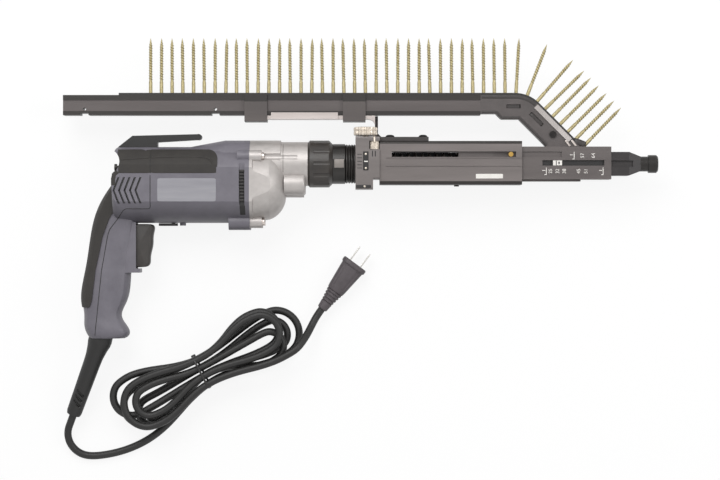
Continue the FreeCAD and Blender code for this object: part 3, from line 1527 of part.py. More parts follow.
def faceted(name, stations):
    """A rod of equal flat sides along X, through stations that each give a place and a radius."""
    body = new_body(name)
    sections = []
    for place_along, radius in stations:
        corners = []
        for side in range(screw_sides):
            angle = 2 * math.pi * (side + 0.5) / screw_sides
            corners.append((radius * math.cos(angle), radius * math.sin(angle)))
        sections.append(outline_sketch(body, "YZ_Plane", corners, place_along))
    loft = body.newObject("PartDesign::AdditiveLoft", f"{name}_loft")
    loft.Profile = sections[0]
    loft.Sections = sections[1:]
    loft.Ruled = True
    body.Tip = loft
    return body


cap_rim_share = 0.2
tip_share = 0.1
screw_form = faceted("screw_form", [
    (zero, d.screw_cap_radius), (d.screw_cap_height * cap_rim_share, d.screw_cap_radius),
    (d.screw_cap_height, d.screw_radius), (d.screw_length - d.screw_point, d.screw_radius),
    (d.screw_length, d.screw_radius * tip_share),
])
hole_radius = d.screw_radius + d.shaft_clearance
shank_hole = faceted("shank_hole", [
    (d.screw_cap_height, hole_radius), (d.screw_cap_height + d.strip_height * 2, hole_radius),
])
doc.recompute()
strip_low = d.strip_proud - d.strip_height
head_offset = float(strip_low - d.screw_cap_height - d.shaft_clearance)


def along_strip(form):
    """A copy of a form at every screw's place, its X axis standing square to the strip."""
    copies = []
    for number in range(SIZES["screw_count"]):
        x, y, lean = screw_spot(number)
        spot = Vector(x + head_offset * math.sin(lean), y + head_offset * math.cos(lean), 0)
        copy = form.Shape.copy()
        copy.Placement = Placement(spot, Rotation(Vector(0, 0, 1), 90 - math.degrees(lean)))
        copies.append(copy)
    return Part.makeCompound(copies)


keep("collated_screws", made("collated_screws", along_strip(screw_form)))
strip_form = slab(
    "strip_form", "XY_Plane", strip_band(-d.strip_rear, strip_low, d.strip_proud, strip_run),
    d.strip_half_width * 2)
keep("collation_strip", cut("collation_strip", strip_form, [made("strip_holes", along_strip(shank_hole))]))

# Feed slide: runs in the outer housing on its keel, pushed forward by the spring.
slide_form = fuse("slide_form", [
    block(
        "slide_block", (slide_start, -d.slide_bottom, -d.slide_half_width),
        (slide_end, d.slide_top, d.slide_half_width)),
    block(
        "slide_keel", (slide_start, -d.slide_bottom - d.slide_keel_drop, -d.slide_keel_half_width),
        (slide_start + d.slide_keel_length, -d.slide_bottom, d.slide_keel_half_width)),
])
slide_bore = rod("slide_bore", "X", slide_start, zero, zero, d.slide_bore, d.slide_length)
slide_grooves = [
    block(
        "slide_groove",
        (slide_start + d.slide_groove_start, d.outer_slot_bottom,
         d.slide_half_width * side - d.slide_groove_depth),
        (slide_start + d.slide_groove_end, d.outer_slot_top,
         d.slide_half_width * side + d.slide_groove_depth),
    )
    for side in (1, -1)
]
arm_outer = d.arm_inner + d.arm_thickness
arm_length = d.arm_engaged + d.arm_travel
arm_rooms = [
    block(
        "arm_room",
        (slide_end - arm_length - d.seat_clearance, -d.arm_half_height - d.seat_clearance,
         low - d.seat_clearance),
        (slide_end, d.arm_half_height + d.seat_clearance, low + d.arm_thickness + d.seat_clearance),
    )
    for low in (d.arm_inner, -arm_outer)
]
index_slot = block(
    "index_slot",
    (slide_end - d.index_slot_rear, -d.index_slot_bottom, arm_outer),
    (slide_end - d.index_slot_front, d.index_slot_top, d.slide_half_width),
)
pin_x = slide_start + d.pin_place
pin_y = (d.outer_slot_top + d.outer_slot_bottom) * 0.5
pin_bottom = d.slide_half_width - d.pin_depth
pin_length = d.outer_half_width - d.pin_proud - pin_bottom
pin_lows = (pin_bottom, -pin_bottom - pin_length)
pins = [rod("travel_pin", "Z", pin_x, pin_y, low, d.pin_radius, pin_length) for low in pin_lows]
pin_holes = [rod("pin_hole", "Z", pin_x, pin_y, low, d.pin_radius, pin_length) for low in pin_lows]
keep("feed_slide", cut("feed_slide", slide_form, [
    slide_bore, *slide_grooves, *arm_rooms, index_slot, channel, *pin_holes,
]))
keep("travel_pins", group("travel_pins", pins))

# Nosepiece on two flat arms in the slide, its pointer in the scale slot, and the tip.
nose_profile = [
    (nose_start, 1, 1), (nose_start + d.nose_straight, 1, 1), (tip_start, 1, 0),
    (tip_start, -1, 0), (nose_start + d.nose_straight, -1, 1), (nose_start, -1, 1),
]


def nose_slab(name, role, half, depth):
    outline = [(x, (half if full else d.nose_end_half) * side) for x, side, full in nose_profile]
    return slab(name, role, outline, depth * 2)


nose_form = common("nose_form", [
    nose_slab("nose_side", "XY_Plane", d.nose_half_height, d.nose_half_width),
    nose_slab("nose_top", "XZ_Plane", d.nose_half_width, d.nose_half_height),
])
nose_arms = [
    block(
        "nose_arm", (nose_start - arm_length, -d.arm_half_height, low),
        (nose_start, d.arm_half_height, low + d.arm_thickness),
    )
    for low in (d.arm_inner, -arm_outer)
]
nose_hole = rod("nose_hole", "X", nose_start, zero, zero, d.nose_bore, d.nose_length)
nose_groove = block(
    "nose_groove",
    (nose_start, -d.nose_groove_half, d.nose_half_width - d.nose_groove_depth),
    (nose_start + d.nose_groove_length, d.nose_groove_half, d.nose_half_width),
)
keep("nosepiece", cut("nosepiece", fuse("nose_armed", [nose_form, *nose_arms]), [nose_hole, nose_groove]))
pointer_x = nose_start - d.pointer_setback
keep("length_pointer", block(
    "length_pointer",
    (pointer_x, -d.index_slot_bottom + d.seat_clearance, arm_outer),
    (pointer_x + d.pointer_length, d.index_slot_top - d.seat_clearance, d.slide_half_width),
))
head_start = tip_start + d.tip_neck_length
keep("nose_tip", turned("nose_tip", [
    (tip_start, d.tip_bore), (tip_start, d.tip_neck_radius), (head_start, d.tip_neck_radius),
    (head_start, d.tip_head_radius), (nose_end - d.tip_round, d.tip_head_radius),
    (nose_end, d.tip_head_radius - d.tip_round), (nose_end, d.tip_bore),
]))

# Wound and free tubes: paths of straight runs and arcs with a section carried along them.


def arc_between(start, tangent, end):
    """The arc that leaves start along the tangent and reaches end, or a line if straight."""
    chord = end - start
    side = chord - tangent * chord.dot(tangent)
    if side.Length < 1e-6 * chord.Length:
        return Part.LineSegment(start, end)
    radius = chord.dot(chord) / (2 * side.Length)
    side.normalize()
    centre = start + side * radius
    middle = (start + end) * 0.5 - centre
    if chord.dot(tangent) < 0:
        middle = middle * -1
    if middle.Length < 1e-9:
        middle = tangent
    middle.normalize()
    return Part.Arc(start, centre + middle * radius, end)


def biarc(start, leaving, end, arriving):
    """Two arcs that join two points along the tangents given there."""
    gap = end - start
    total = leaving + arriving
    square = 2 * (1 - leaving.dot(arriving))
    along_total = gap.dot(total)
    if abs(square) < 1e-9:
        reach = gap.dot(gap) / (4 * gap.dot(leaving))
    else:
        reach = (math.sqrt(along_total ** 2 + square * gap.dot(gap)) - along_total) / square
    joint = (start + end + (leaving - arriving) * reach) * 0.5
    first = arc_between(start, leaving, joint)
    back = arc_between(end, arriving * -1, joint)
    if isinstance(back, Part.LineSegment):
        return [first, Part.LineSegment(joint, end)]
    middle = back.value((back.FirstParameter + back.LastParameter) / 2)
    return [first, Part.Arc(joint, middle, end)]


def polygon(spot, way, radius, sides):
    """A closed wire of equal sides, square to a direction, flat side down."""
    across = way.cross(Vector(0, 0, 1))
    across.normalize()
    rise = across.cross(way)
    points = []
    for side in range(sides + 1):
        angle = 2 * math.pi * (side + 0.5) / sides
        points.append(spot + across * (radius * math.cos(angle)) + rise * (radius * math.sin(angle)))
    return Part.makePolygon(points)


def tube(curves, section):
    """One solid tube: the section carried along curves that join smoothly."""
    path = Part.Wire([curve.toShape() for curve in curves])
    return path.makePipeShell([section], True, False)


def least_gap(curves, radius):
    """The least gap of a tube to itself, between points further apart along it than ten radii."""
    skip = 10 * radius
    points = []
    run = 0.0
    for curve in curves:
        length = curve.length()
        count = max(2, int(length / radius))
        for index in range(count):
            spot = curve.value(curve.parameterAtDistance(length * index / count, curve.FirstParameter))
            points.append((run + length * index / count, spot))
        run += length
    nearest = 1e9
    for index, (here, spot) in enumerate(points):
        for there, other in points[index + 1:]:
            if there - here > skip:
                nearest = min(nearest, spot.distanceToPoint(other))
    return nearest - 2 * radius


def helix_curves(start, end, radius, turns):
    """Biarcs of a quarter turn along a helix about the X axis."""
    steps = turns * 4
    pitch = (end - start) / turns
    rise = pitch / (2 * math.pi * radius)
    spots = []
    for step in range(steps + 1):
        angle = math.pi / 2 * step
        way = Vector(rise, -math.sin(angle), math.cos(angle))
        way.normalize()
        spot = Vector(start + pitch * step / 4, radius * math.cos(angle), radius * math.sin(angle))
        spots.append((spot, way))
    curves = []
    for (here, leaving), (there, arriving) in zip(spots, spots[1:]):
        curves += biarc(here, leaving, there, arriving)
    return curves


# Return spring, between the clamp block and the slide, round the bit.
wire = float(d.spring_wire_radius)
spring_seat = wire + float(d.spring_end_gap)
spring_start = float(outer_start) + spring_seat
spring_end = float(slide_start) - spring_seat
spring_curves = helix_curves(spring_start, spring_end, float(d.spring_radius), SIZES["spring_turns"])
spring_sides = 6
spring_way = spring_curves[0].tangent(spring_curves[0].FirstParameter)[0]
spring_section = polygon(
    Vector(spring_start, float(d.spring_radius), 0), spring_way, wire, spring_sides)
spring = tube(spring_curves, spring_section)
print("spring gap", round(least_gap(spring_curves, wire), 2))
keep("return_spring", made("return_spring", spring))

# Strain relief on its own axis, leaning back and drooping towards the floor.
cord_radius = float(d.cord_diameter) / 2
slits = []
for slit in range(SIZES["boot_slits"]):
    slit_end = d.boot_length - d.boot_slit_pitch * (SIZES["boot_slits"] - slit)
    slits += [
        (slit_end - d.boot_slit, d.boot_end_radius),
        (slit_end - d.boot_slit, d.boot_end_radius - d.boot_slit_depth),
        (slit_end, d.boot_end_radius - d.boot_slit_depth), (slit_end, d.boot_end_radius),
    ]
boot = turned("strain_relief", [
    (-d.boot_socket, zero), (-d.boot_socket, d.boot_socket_radius), (zero, d.boot_socket_radius),
    (d.boot_collar, d.boot_collar_radius), (d.boot_waist, d.boot_waist_radius), *slits,
    (d.boot_length, d.boot_end_radius), (d.boot_length, zero),
])
boot.Placement = Placement(Vector(), boot_turn)
keep("strain_relief", boot, (boot_x, grip_bottom, zero))
boot_way = boot_turn.multVec(Vector(1, 0, 0))
boot_spot = Vector(float(boot_x), float(grip_bottom), 0)
boot_tip = boot_spot + boot_way * float(d.boot_length)

# Hank: loops drawn in at a tied waist, spiralling in and out in four layers. A turn is
# counted from the middle of the lower run, and each climb is along the upper run.
floor_level = -float(d.side_half_width)
hank_turns = 5
layer_turns = (1.5, 2.5, 3.5)
turn_share = 0.01
# How far each end of the loops, right and left in turn, fans out along and across the hank.
hank_fan = [
    (2, -2.4), (-2, -5), (2, -2), (4, -13), (-9, 6), (-5, 8), (-6, -10), (8, -2.6), (-9, 3), (8, -3), (0, 0),
]
hank_turn = Rotation(Vector(0, 0, 1), float(d.hank_degrees))
hank_x = boot_x + d.hank_ahead
hank_y = grip_bottom - d.hank_drop
hank_spot = Vector(float(hank_x), float(hank_y), floor_level + cord_radius + float(d.hank_lift))


def hank_inset(turn):
    """How many steps in from the outermost loop the cord lies after some turns."""
    reversals = (0.0, *layer_turns, hank_turns + 1)
    inset = 0.0
    for number, (start, end) in enumerate(zip(reversals, reversals[1:])):
        share = min(max(turn - start, 0.0), end - start)
        inset += share if number % 2 == 0 else -share
    return inset


def hank_level(turn):
    """The height of the cord after some turns, climbing a layer over a quarter turn."""
    climbs = [min(max((turn - middle) * 4 + 0.5, 0.0), 1.0) for middle in layer_turns]
    return float(d.hank_layer) * sum(climbs)


def hank_point(eighth):
    """A point of the hank and the cord's way there, at each eighth of a turn."""
    turn = eighth / 8
    inset = hank_inset(turn)
    end_radius = float(d.hank_end_radius - d.hank_end_step * inset)
    waist = float(d.hank_waist - d.hank_end_step * inset)
    reach = float(d.hank_half_length - d.hank_length_step * inset)
    spots = [
        (0, -waist, 1, 0), (reach, -end_radius, 1, 0), (reach + end_radius, 0, 0, 1),
        (reach, end_radius, -1, 0), (0, waist, -1, 0), (-reach, end_radius, -1, 0),
        (-reach - end_radius, 0, 0, -1), (-reach, -end_radius, 1, 0),
    ]
    across, up, way_across, way_up = spots[eighth % 8]
    fan_across, fan_up = hank_fan[eighth // 4] if eighth % 4 else (0, 0)
    climb = (hank_level(turn + turn_share) - hank_level(turn - turn_share)) / (2 * turn_share)
    run = 4 * reach + 2 * math.pi * end_radius
    way = Vector(way_across, way_up, climb / run if eighth % 8 == 4 else 0)
    way.normalize()
    spot = Vector(across + fan_across, up + fan_up, hank_level(turn))
    return hank_spot + hank_turn.multVec(spot), hank_turn.multVec(way)


hank_points = [hank_point(eighth) for eighth in range(hank_turns * 8 + 2)]
hank_curves = []
for (here, leaving), (there, arriving) in zip(hank_points, hank_points[1:]):
    hank_curves += biarc(here, leaving, there, arriving)
cord_sides = 8
facet_radius = cord_radius / math.cos(math.pi / cord_sides)
print("hank gap", round(least_gap(hank_curves, facet_radius), 2))
print("hank length", round(sum(curve.length() for curve in hank_curves)))
keep("cord_hank", made("cord_hank", tube(
    hank_curves, polygon(*hank_points[0], facet_radius, cord_sides))))


setback_share = 0.45


def rounded_route(points):
    """Straight runs through the points with each corner rounded as far as its runs allow."""
    curves = []
    radii = []
    last = points[0]
    for before, corner, after in zip(points, points[1:], points[2:]):
        inward = corner - before
        outward = after - corner
        setback = setback_share * min(inward.Length, outward.Length)
        inward.normalize()
        outward.normalize()
        half_turn = inward.getAngle(outward) / 2
        radii.append(setback / math.tan(half_turn))
        arc_start = corner - inward * setback
        arc_end = corner + outward * setback
        bisector = outward - inward
        bisector.normalize()
        bulge = radii[-1] / math.cos(half_turn) - radii[-1]
        curves.append(Part.LineSegment(last, arc_start))
        curves.append(Part.Arc(arc_start, corner + bisector * bulge, arc_end))
        last = arc_end
    curves.append(Part.LineSegment(last, points[-1]))
    return curves, radii


def free_tube(name, points):
    curves, radii = rounded_route(points)
    length = sum(curve.length() for curve in curves)
    way = points[1] - points[0]
    way.normalize()
    solid = tube(curves, polygon(points[0], way, facet_radius, cord_sides))
    area = cord_sides * facet_radius ** 2 * math.sin(2 * math.pi / cord_sides) / 2
    print(name, "length", round(length), "radii", [round(radius) for radius in radii],
          "volume share", round(solid.Volume / (area * length), 4))
    return keep(name, made(name, solid))


# Cord from the strain relief, down to the floor and round into the hank: points across
# and along from the strain relief's root, with the height of the cord's middle over the floor.
lead_route = [
    (-35.8, -93.2, 11.0), (-36.1, -100.6, 9.2), (-34.0, -107.7, 7.2), (-29.7, -113.7, 5.6),
    (-23.7, -118.1, 4.6), (-16.6, -120.3, 4.2), (-6.0, -120.4, 4.2), (11.5, -117.6, 4.2),
    (29.5, -111.8, 4.2), (46.5, -103.0, 4.2), (61.5, -91.2, 4.2), (74.5, -77.2, 4.2),
    (85.7, -64.0, 4.9),
]


def on_floor(x, y, height):
    """A point of a cord's route, from the strain relief's root and the floor."""
    return Vector(boot_spot.x + x, boot_spot.y + y, floor_level + height)


lead_points = [boot_tip, boot_tip + boot_way * float(d.cord_straight)]
lead_points += [on_floor(*point) for point in lead_route]
hank_start, hank_leaving = hank_points[0]
lead_points += [hank_start - hank_leaving * float(d.cord_straight), hank_start]
free_tube("cord_lead", lead_points)

# Plug: a ribbed neck that swells into a flat-sided body with two blades.
plug_turn = Rotation(Vector(0, 0, 1), float(d.plug_degrees))
plug_level = d.plug_half_thickness + d.seat_clearance - d.side_half_width
plug_spot = (boot_x + d.plug_ahead, grip_bottom + d.plug_rise, plug_level)
plug_vector = Vector(*[float(size) for size in plug_spot])
plug_way = plug_turn.multVec(Vector(1, 0, 0))
ribs = []
rib_pitch = d.plug_neck_length / (SIZES["plug_ribs"] + 1)
for rib in range(1, SIZES["plug_ribs"] + 1):
    rib_middle = rib_pitch * rib
    ribs += [
        (rib_middle - d.plug_rib_width * 0.5, d.plug_neck_radius),
        (rib_middle - d.plug_rib_width * 0.5, d.plug_neck_radius - d.plug_rib_depth),
        (rib_middle + d.plug_rib_width * 0.5, d.plug_neck_radius - d.plug_rib_depth),
        (rib_middle + d.plug_rib_width * 0.5, d.plug_neck_radius),
    ]
plug_neck = turned("plug_neck", [
    (zero, zero), (zero, d.plug_neck_radius), *ribs, (d.plug_neck_length, d.plug_neck_radius),
    (d.plug_length - d.plug_flange, d.plug_neck_radius), (d.plug_length - d.plug_flange, zero),
])


def plug_slab(name, role, half, depth):
    """The swelling outline of the plug seen from one side."""
    flange = d.plug_length - d.plug_flange
    swell = (flange + d.plug_neck_length) * 0.5
    return slab(name, role, [
        (d.plug_neck_length, -d.plug_neck_radius), (swell, -(half + d.plug_neck_radius) * 0.5),
        (flange, -half),
        (d.plug_length, -half), (d.plug_length, half), (flange, half),
        (swell, (half + d.plug_neck_radius) * 0.5), (d.plug_neck_length, d.plug_neck_radius),
    ], depth * 2)


plug_head = common("plug_head", [
    plug_slab("plug_top", "XY_Plane", d.plug_half_width, d.plug_half_thickness),
    plug_slab("plug_side", "XZ_Plane", d.plug_half_thickness, d.plug_half_width),
])


def blade(name, side):
    middle = d.blade_spacing * 0.5 * side
    return block(
        name,
        (d.plug_length - d.blade_root, middle - d.blade_thickness * 0.5, -d.blade_width * 0.5),
        (d.plug_length + d.blade_length, middle + d.blade_thickness * 0.5, d.blade_width * 0.5),
    )


plug_body = cut("plug_body", fuse("plug_form", [plug_neck, plug_head]), [
    blade("blade_slot", 1), blade("blade_slot", -1),
])
plug_body.Placement = Placement(Vector(), plug_turn)
keep("plug_body", plug_body, plug_spot)
plug_blades = group("plug_blades", [blade("blade", 1), blade("blade", -1)])
plug_blades.Placement = Placement(Vector(), plug_turn)
keep("plug_blades", plug_blades, plug_spot)

# Cord from the hank's top layer down to the plug.
tail_route = [(199.0, -7.3, 28.0), (205.2, 1.8, 20.9), (210.2, 11.6, 13.8)]
hank_end, hank_arriving = hank_points[-1]
tail_points = [hank_end, hank_end + hank_arriving * float(d.cord_straight)]
tail_points += [on_floor(*point) for point in tail_route]
tail_points += [plug_vector - plug_way * float(d.cord_straight), plug_vector]
free_tube("cord_tail", tail_points)

# Tie: a flat band round the hank's waist.
tie_low = -d.hank_waist - d.cord_diameter * 0.5 - d.tie_clearance
tie_high = d.hank_waist - d.hank_end_step * 0.5 + d.cord_diameter * 0.5 + d.tie_clearance
tie_base = zero
tie_top = d.hank_lift + d.hank_layer * 3 + d.cord_diameter + d.tie_clearance
tie_along = -d.cord_diameter
tie_outer = block(
    "tie_outer", (tie_along, tie_low - d.tie_thickness, tie_base),
    (tie_along + d.tie_width, tie_high + d.tie_thickness, tie_top + d.tie_thickness))
tie_inner = block(
    "tie_inner", (tie_along, tie_low, d.tie_thickness), (tie_along + d.tie_width, tie_high, tie_top))
tie = cut("cord_tie", tie_outer, [tie_inner])
tie.Placement = Placement(Vector(), hank_turn)
keep("cord_tie", tie, (hank_x, hank_y, -d.side_half_width))

doc.recompute()
faults = [thing.Name for thing in doc.Objects if {"Invalid", "Error"} & set(thing.State)]
for thing in sub_parts:
    if thing.Shape.isNull() or not thing.Shape.isValid() or not thing.Shape.Solids:
        faults.append(thing.Label)
if faults:
    raise RuntimeError(f"not built: {sorted(set(faults))}")
os.makedirs("parts", exist_ok=True)
for thing in sub_parts:
    thing.Shape.exportStep(f"parts/{thing.Label}.step")
print(len(sub_parts), "sub-parts")
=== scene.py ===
import math

import bmesh
import bpy
import numpy as np
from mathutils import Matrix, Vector


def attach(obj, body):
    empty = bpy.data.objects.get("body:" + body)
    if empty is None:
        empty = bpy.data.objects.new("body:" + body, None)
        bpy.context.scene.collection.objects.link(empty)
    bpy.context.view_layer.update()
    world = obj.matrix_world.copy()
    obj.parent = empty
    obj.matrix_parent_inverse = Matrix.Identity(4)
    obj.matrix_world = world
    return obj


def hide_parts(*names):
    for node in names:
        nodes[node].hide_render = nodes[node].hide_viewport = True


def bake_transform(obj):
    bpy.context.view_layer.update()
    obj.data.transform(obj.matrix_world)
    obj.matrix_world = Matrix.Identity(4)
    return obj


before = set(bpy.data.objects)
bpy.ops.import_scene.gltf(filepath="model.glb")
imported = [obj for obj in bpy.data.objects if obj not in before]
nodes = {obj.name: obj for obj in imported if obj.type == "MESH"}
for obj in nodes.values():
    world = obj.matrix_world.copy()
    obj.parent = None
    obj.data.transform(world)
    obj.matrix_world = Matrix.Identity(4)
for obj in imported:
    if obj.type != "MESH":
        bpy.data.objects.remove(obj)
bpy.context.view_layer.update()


# Studio: the tool lies on its left side on a white sweep, and the camera looks straight
# down on it. One millimetre of the tool's middle plane fills one pixel of the frame.

def linear(hex_code):
    """An sRGB hex colour as linear RGBA: a channel c over 0.04045 is ((c + 0.055) / 1.055) ** 2.4,
    and a darker one is c / 12.92."""
    channel = np.array([int(hex_code[start:start + 2], 16) for start in (1, 3, 5)]) / 255
    bright = ((channel + 0.055) / 1.055) ** 2.4
    return (*np.where(channel > 0.04045, bright, channel / 12.92).tolist(), 1.0)


def add_node(material, kind, sockets=(), links=(), **settings):
    """Add a node: settings are its properties, sockets its fixed inputs, links its linked ones."""
    tree = material.node_tree
    node = tree.nodes.new(kind)
    for name, value in settings.items():
        setattr(node, name, value)
    for name, value in dict(sockets).items():
        node.inputs[name].default_value = value
    for name, source in dict(links).items():
        tree.links.new(source, node.inputs[name])
    return node


def add_object(name, data):
    """A new object in the scene that shows the data."""
    item = bpy.data.objects.new(name, data)
    bpy.context.scene.collection.objects.link(item)
    return item


def white_to_eyes(owner, lit, white, share, output):
    """End a tree in a mix: the camera and mirrors see a share of white, all else the lit shader."""
    path = add_node(owner, "ShaderNodeLightPath")
    rays = {0: path.outputs["Is Camera Ray"], 1: path.outputs["Is Glossy Ray"]}
    seen = add_node(owner, "ShaderNodeMath", links=rays, operation="MAXIMUM")
    part = add_node(owner, "ShaderNodeMath", {1: share}, {0: seen.outputs[0]}, operation="MULTIPLY")
    mix = add_node(
        owner, "ShaderNodeMixShader", links={0: part.outputs[0], 1: lit.outputs[0], 2: white.outputs[0]})
    add_node(owner, output, links={0: mix.outputs[0]})


frame_width = 0.720
frame_middle = (-0.00075, -0.0519)
middle_plane = 0.034
camera_height = 2.4
sensor_width = 36.0
camera_data = bpy.data.cameras.new("copy_stand")
camera_data.sensor_width = sensor_width
camera_data.lens = sensor_width * camera_height / frame_width
camera = add_object("copy_stand", camera_data)
camera.location = (*frame_middle, middle_plane + camera_height)
bpy.context.scene.camera = camera
bpy.context.scene.view_settings.view_transform = "Standard"

floor_size = 6.0
floor_mesh = bpy.data.meshes.new("white_sweep")
corner = floor_size / 2
floor_corners = [(-corner, -corner, 0), (corner, -corner, 0), (corner, corner, 0), (-corner, corner, 0)]
floor_mesh.from_pydata(floor_corners, [], [(0, 1, 2, 3)])
floor = add_object("white_sweep", floor_mesh)

# White paper: matte where light falls on it, so it takes soft shadows, and partly a glow of its
# own to the camera and in mirrors, so it shows as an even white.
paper = bpy.data.materials.new("white paper")
paper.use_nodes = True
paper.node_tree.nodes.clear()
paper_matte = add_node(paper, "ShaderNodeBsdfDiffuse", {"Color": linear("#cfcfcf")})
paper_glow = add_node(paper, "ShaderNodeEmission", {"Color": (1, 1, 1, 1), "Strength": 1.1})
white_to_eyes(paper, paper_matte, paper_glow, 0.8, "ShaderNodeOutputMaterial")
floor_mesh.materials.append(paper)

# The room lights the tool more from the barrel's side than from the grip's, and the camera and
# mirrors see it plain white.
studio = bpy.data.worlds.new("studio")
studio.use_nodes = True
studio.node_tree.nodes.clear()
room_way = add_node(studio, "ShaderNodeTexCoord")
room_side = add_node(studio, "ShaderNodeSeparateXYZ", links={0: room_way.outputs["Generated"]})
room_fall = add_node(
    studio, "ShaderNodeMapRange", {"From Min": -0.9, "From Max": 0.9, "To Min": 0.08, "To Max": 0.8},
    {"Value": room_side.outputs["Y"]})
room_light = add_node(
    studio, "ShaderNodeBackground", {"Color": (1, 1, 1, 1)}, {"Strength": room_fall.outputs[0]})
room_white = add_node(studio, "ShaderNodeBackground", {"Color": (1, 1, 1, 1), "Strength": 1.0})
white_to_eyes(studio, room_light, room_white, 1.0, "ShaderNodeOutputWorld")
bpy.context.scene.world = studio

# Name, place, width and power of each soft box, which faces the tool.
soft_boxes = [
    ("upper_soft_box", (-0.45, 1.05, 1.5), 1.1, 20.0),
    ("right_soft_box", (1.3, 0.2, 1.3), 0.9, 7.0),
    ("lower_soft_box", (-0.1, -1.3, 1.0), 1.0, 1.5),
]
for name, place, width, power in soft_boxes:
    lamp = bpy.data.lights.new(name, "AREA")
    lamp.size = width
    lamp.energy = power
    box = add_object(name, lamp)
    box.location = place
    box.rotation_euler = Vector(place).to_track_quat("Z", "Y").to_euler()


# Housing and rear cover: two shells of glass-filled nylon, moulded with a fine spark-eroded
# grain and screwed together along the seam that runs down the grip, drawn as a dark line of painted shade.
# Black blocks of painted shade fill the air slots, a black floor of painted shade lies in the one at the
# front under its slats, and the rating plate is left bare.

def finish(name, lit, shaded, mottle_mm, roughness, grain_mm, grain_depth_mm, metallic=0.0, drawn=(1, 1, 1)):
    """A surface that drifts between two shades over mottle_mm, with a bump of grain_mm bumps
    that are grain_depth_mm deep. drawn shrinks the pattern's pace along an axis into streaks."""
    material = bpy.data.materials.new(name)
    material.use_nodes = True
    material.node_tree.nodes.clear()
    place = add_node(material, "ShaderNodeTexCoord")
    drawn_place = add_node(
        material, "ShaderNodeMapping", {"Scale": drawn}, {"Vector": place.outputs["Object"]})
    patches = add_node(
        material, "ShaderNodeTexNoise", {"Scale": 1000 / mottle_mm, "Detail": 5.0, "Roughness": 0.62},
        {"Vector": drawn_place.outputs[0]})
    shade = add_node(material, "ShaderNodeValToRGB", links={"Fac": patches.outputs["Fac"]})
    for stop, position, tone in zip(shade.color_ramp.elements, (0.3, 0.7), (shaded, lit)):
        stop.position = position
        stop.color = linear(tone)
    polish = add_node(
        material, "ShaderNodeMapRange", {"To Min": roughness - 0.06, "To Max": roughness + 0.06},
        {"Value": patches.outputs["Fac"]})
    grain = add_node(
        material, "ShaderNodeTexNoise", {"Scale": 1000 / grain_mm, "Detail": 2.0, "Roughness": 0.5},
        {"Vector": drawn_place.outputs[0]})
    bump = add_node(
        material, "ShaderNodeBump", {"Strength": 0.6, "Distance": grain_depth_mm / 1000},
        {"Height": grain.outputs["Fac"]})
    shader = add_node(material, "ShaderNodeBsdfPrincipled", {"Metallic": metallic}, {
        "Base Color": shade.outputs[0], "Roughness": polish.outputs[0], "Normal": bump.outputs[0]})
    add_node(material, "ShaderNodeOutputMaterial", links={0: shader.outputs[0]})
    return material


def dress(material, *names):
    """Give CAD solids their finish."""
    for name in names:
        nodes[name].data.materials.clear()
        nodes[name].data.materials.append(material)


def closed_shells(name, rings, material, body="tool", crease=40):
    """One mesh of closed shells. rings[k, i, j] is point j of ring i of shell k. Rings that
    follow each other are joined by quads, and the end rings close on their middle points. A
    body of None leaves the piece free."""
    count, rows, sides, _ = rings.shape
    middles = rings[:, [0, -1]].mean(2)
    points = np.concatenate([rings.reshape(count, rows * sides, 3), middles], 1).reshape(-1, 3)
    base = np.arange(count)[:, None, None] * (rows * sides + 2)
    ring, side = np.arange(rows - 1)[None, :, None], np.arange(sides)[None, None, :]
    here = base + ring * sides + side
    beside = base + ring * sides + (side + 1) % sides
    quads = np.stack([here, beside, beside + sides, here + sides], -1).reshape(-1, 4)
    last = base + (rows - 1) * sides
    pole = base + rows * sides + 0 * side
    starts = np.stack([base + (side + 1) % sides, base + side, pole], -1).reshape(-1, 3)
    ends = np.stack([last + side, last + (side + 1) % sides, pole + 1], -1).reshape(-1, 3)
    mesh = bpy.data.meshes.new(name)
    mesh.from_pydata(points.tolist(), [], quads.tolist() + starts.tolist() + ends.tolist())
    loose = bmesh.new()
    loose.from_mesh(mesh)
    bmesh.ops.recalc_face_normals(loose, faces=loose.faces)
    loose.to_mesh(mesh)
    loose.free()
    mesh.polygons.foreach_set("use_smooth", np.ones(len(mesh.polygons), dtype=bool))
    mesh.set_sharp_from_angle(angle=math.radians(crease))
    mesh.materials.append(material)
    piece = add_object(name, mesh)
    if body:
        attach(piece, body)
    return piece


def round_turn(sides):
    """The angles of a full turn in equal steps: number / sides times 2 pi."""
    return np.arange(sides) / sides * 2 * math.pi


def signed_power(wave, power):
    """The wave's sign times its size to a power, which squares off a cos or a sin."""
    return np.sign(wave) * np.abs(wave) ** power


def unit(vectors):
    """The vectors over their lengths."""
    return vectors / np.linalg.norm(vectors, axis=-1, keepdims=True)


def rounded_blocks(middles, halves, turns=0.0, boxy=0.22, rows=8, sides=20):
    """Superquadric blocks, each half-sized by (a, b, c) in mm and turned about Z: with signed powers
    p of boxy, x = a cos(v)^p cos(u)^p, y = b cos(v)^p sin(u)^p and z = c sin(v)^p."""
    middles = np.atleast_2d(middles)
    halves = np.broadcast_to(halves, middles.shape) / 1000
    turns = np.broadcast_to(turns, len(middles))[:, None, None]
    v = np.linspace(-0.497 * math.pi, 0.497 * math.pi, rows)[:, None]
    u = round_turn(sides)
    level, height = signed_power(np.cos(v), boxy), signed_power(np.sin(v), boxy)
    x = halves[:, 0, None, None] * level * signed_power(np.cos(u), boxy)
    y = halves[:, 1, None, None] * level * signed_power(np.sin(u), boxy)
    z = halves[:, 2, None, None] * height * np.ones_like(u)
    turned = [x * np.cos(turns) - y * np.sin(turns), x * np.sin(turns) + y * np.cos(turns), z]
    return np.stack(turned, -1) + middles[:, None, None, :]


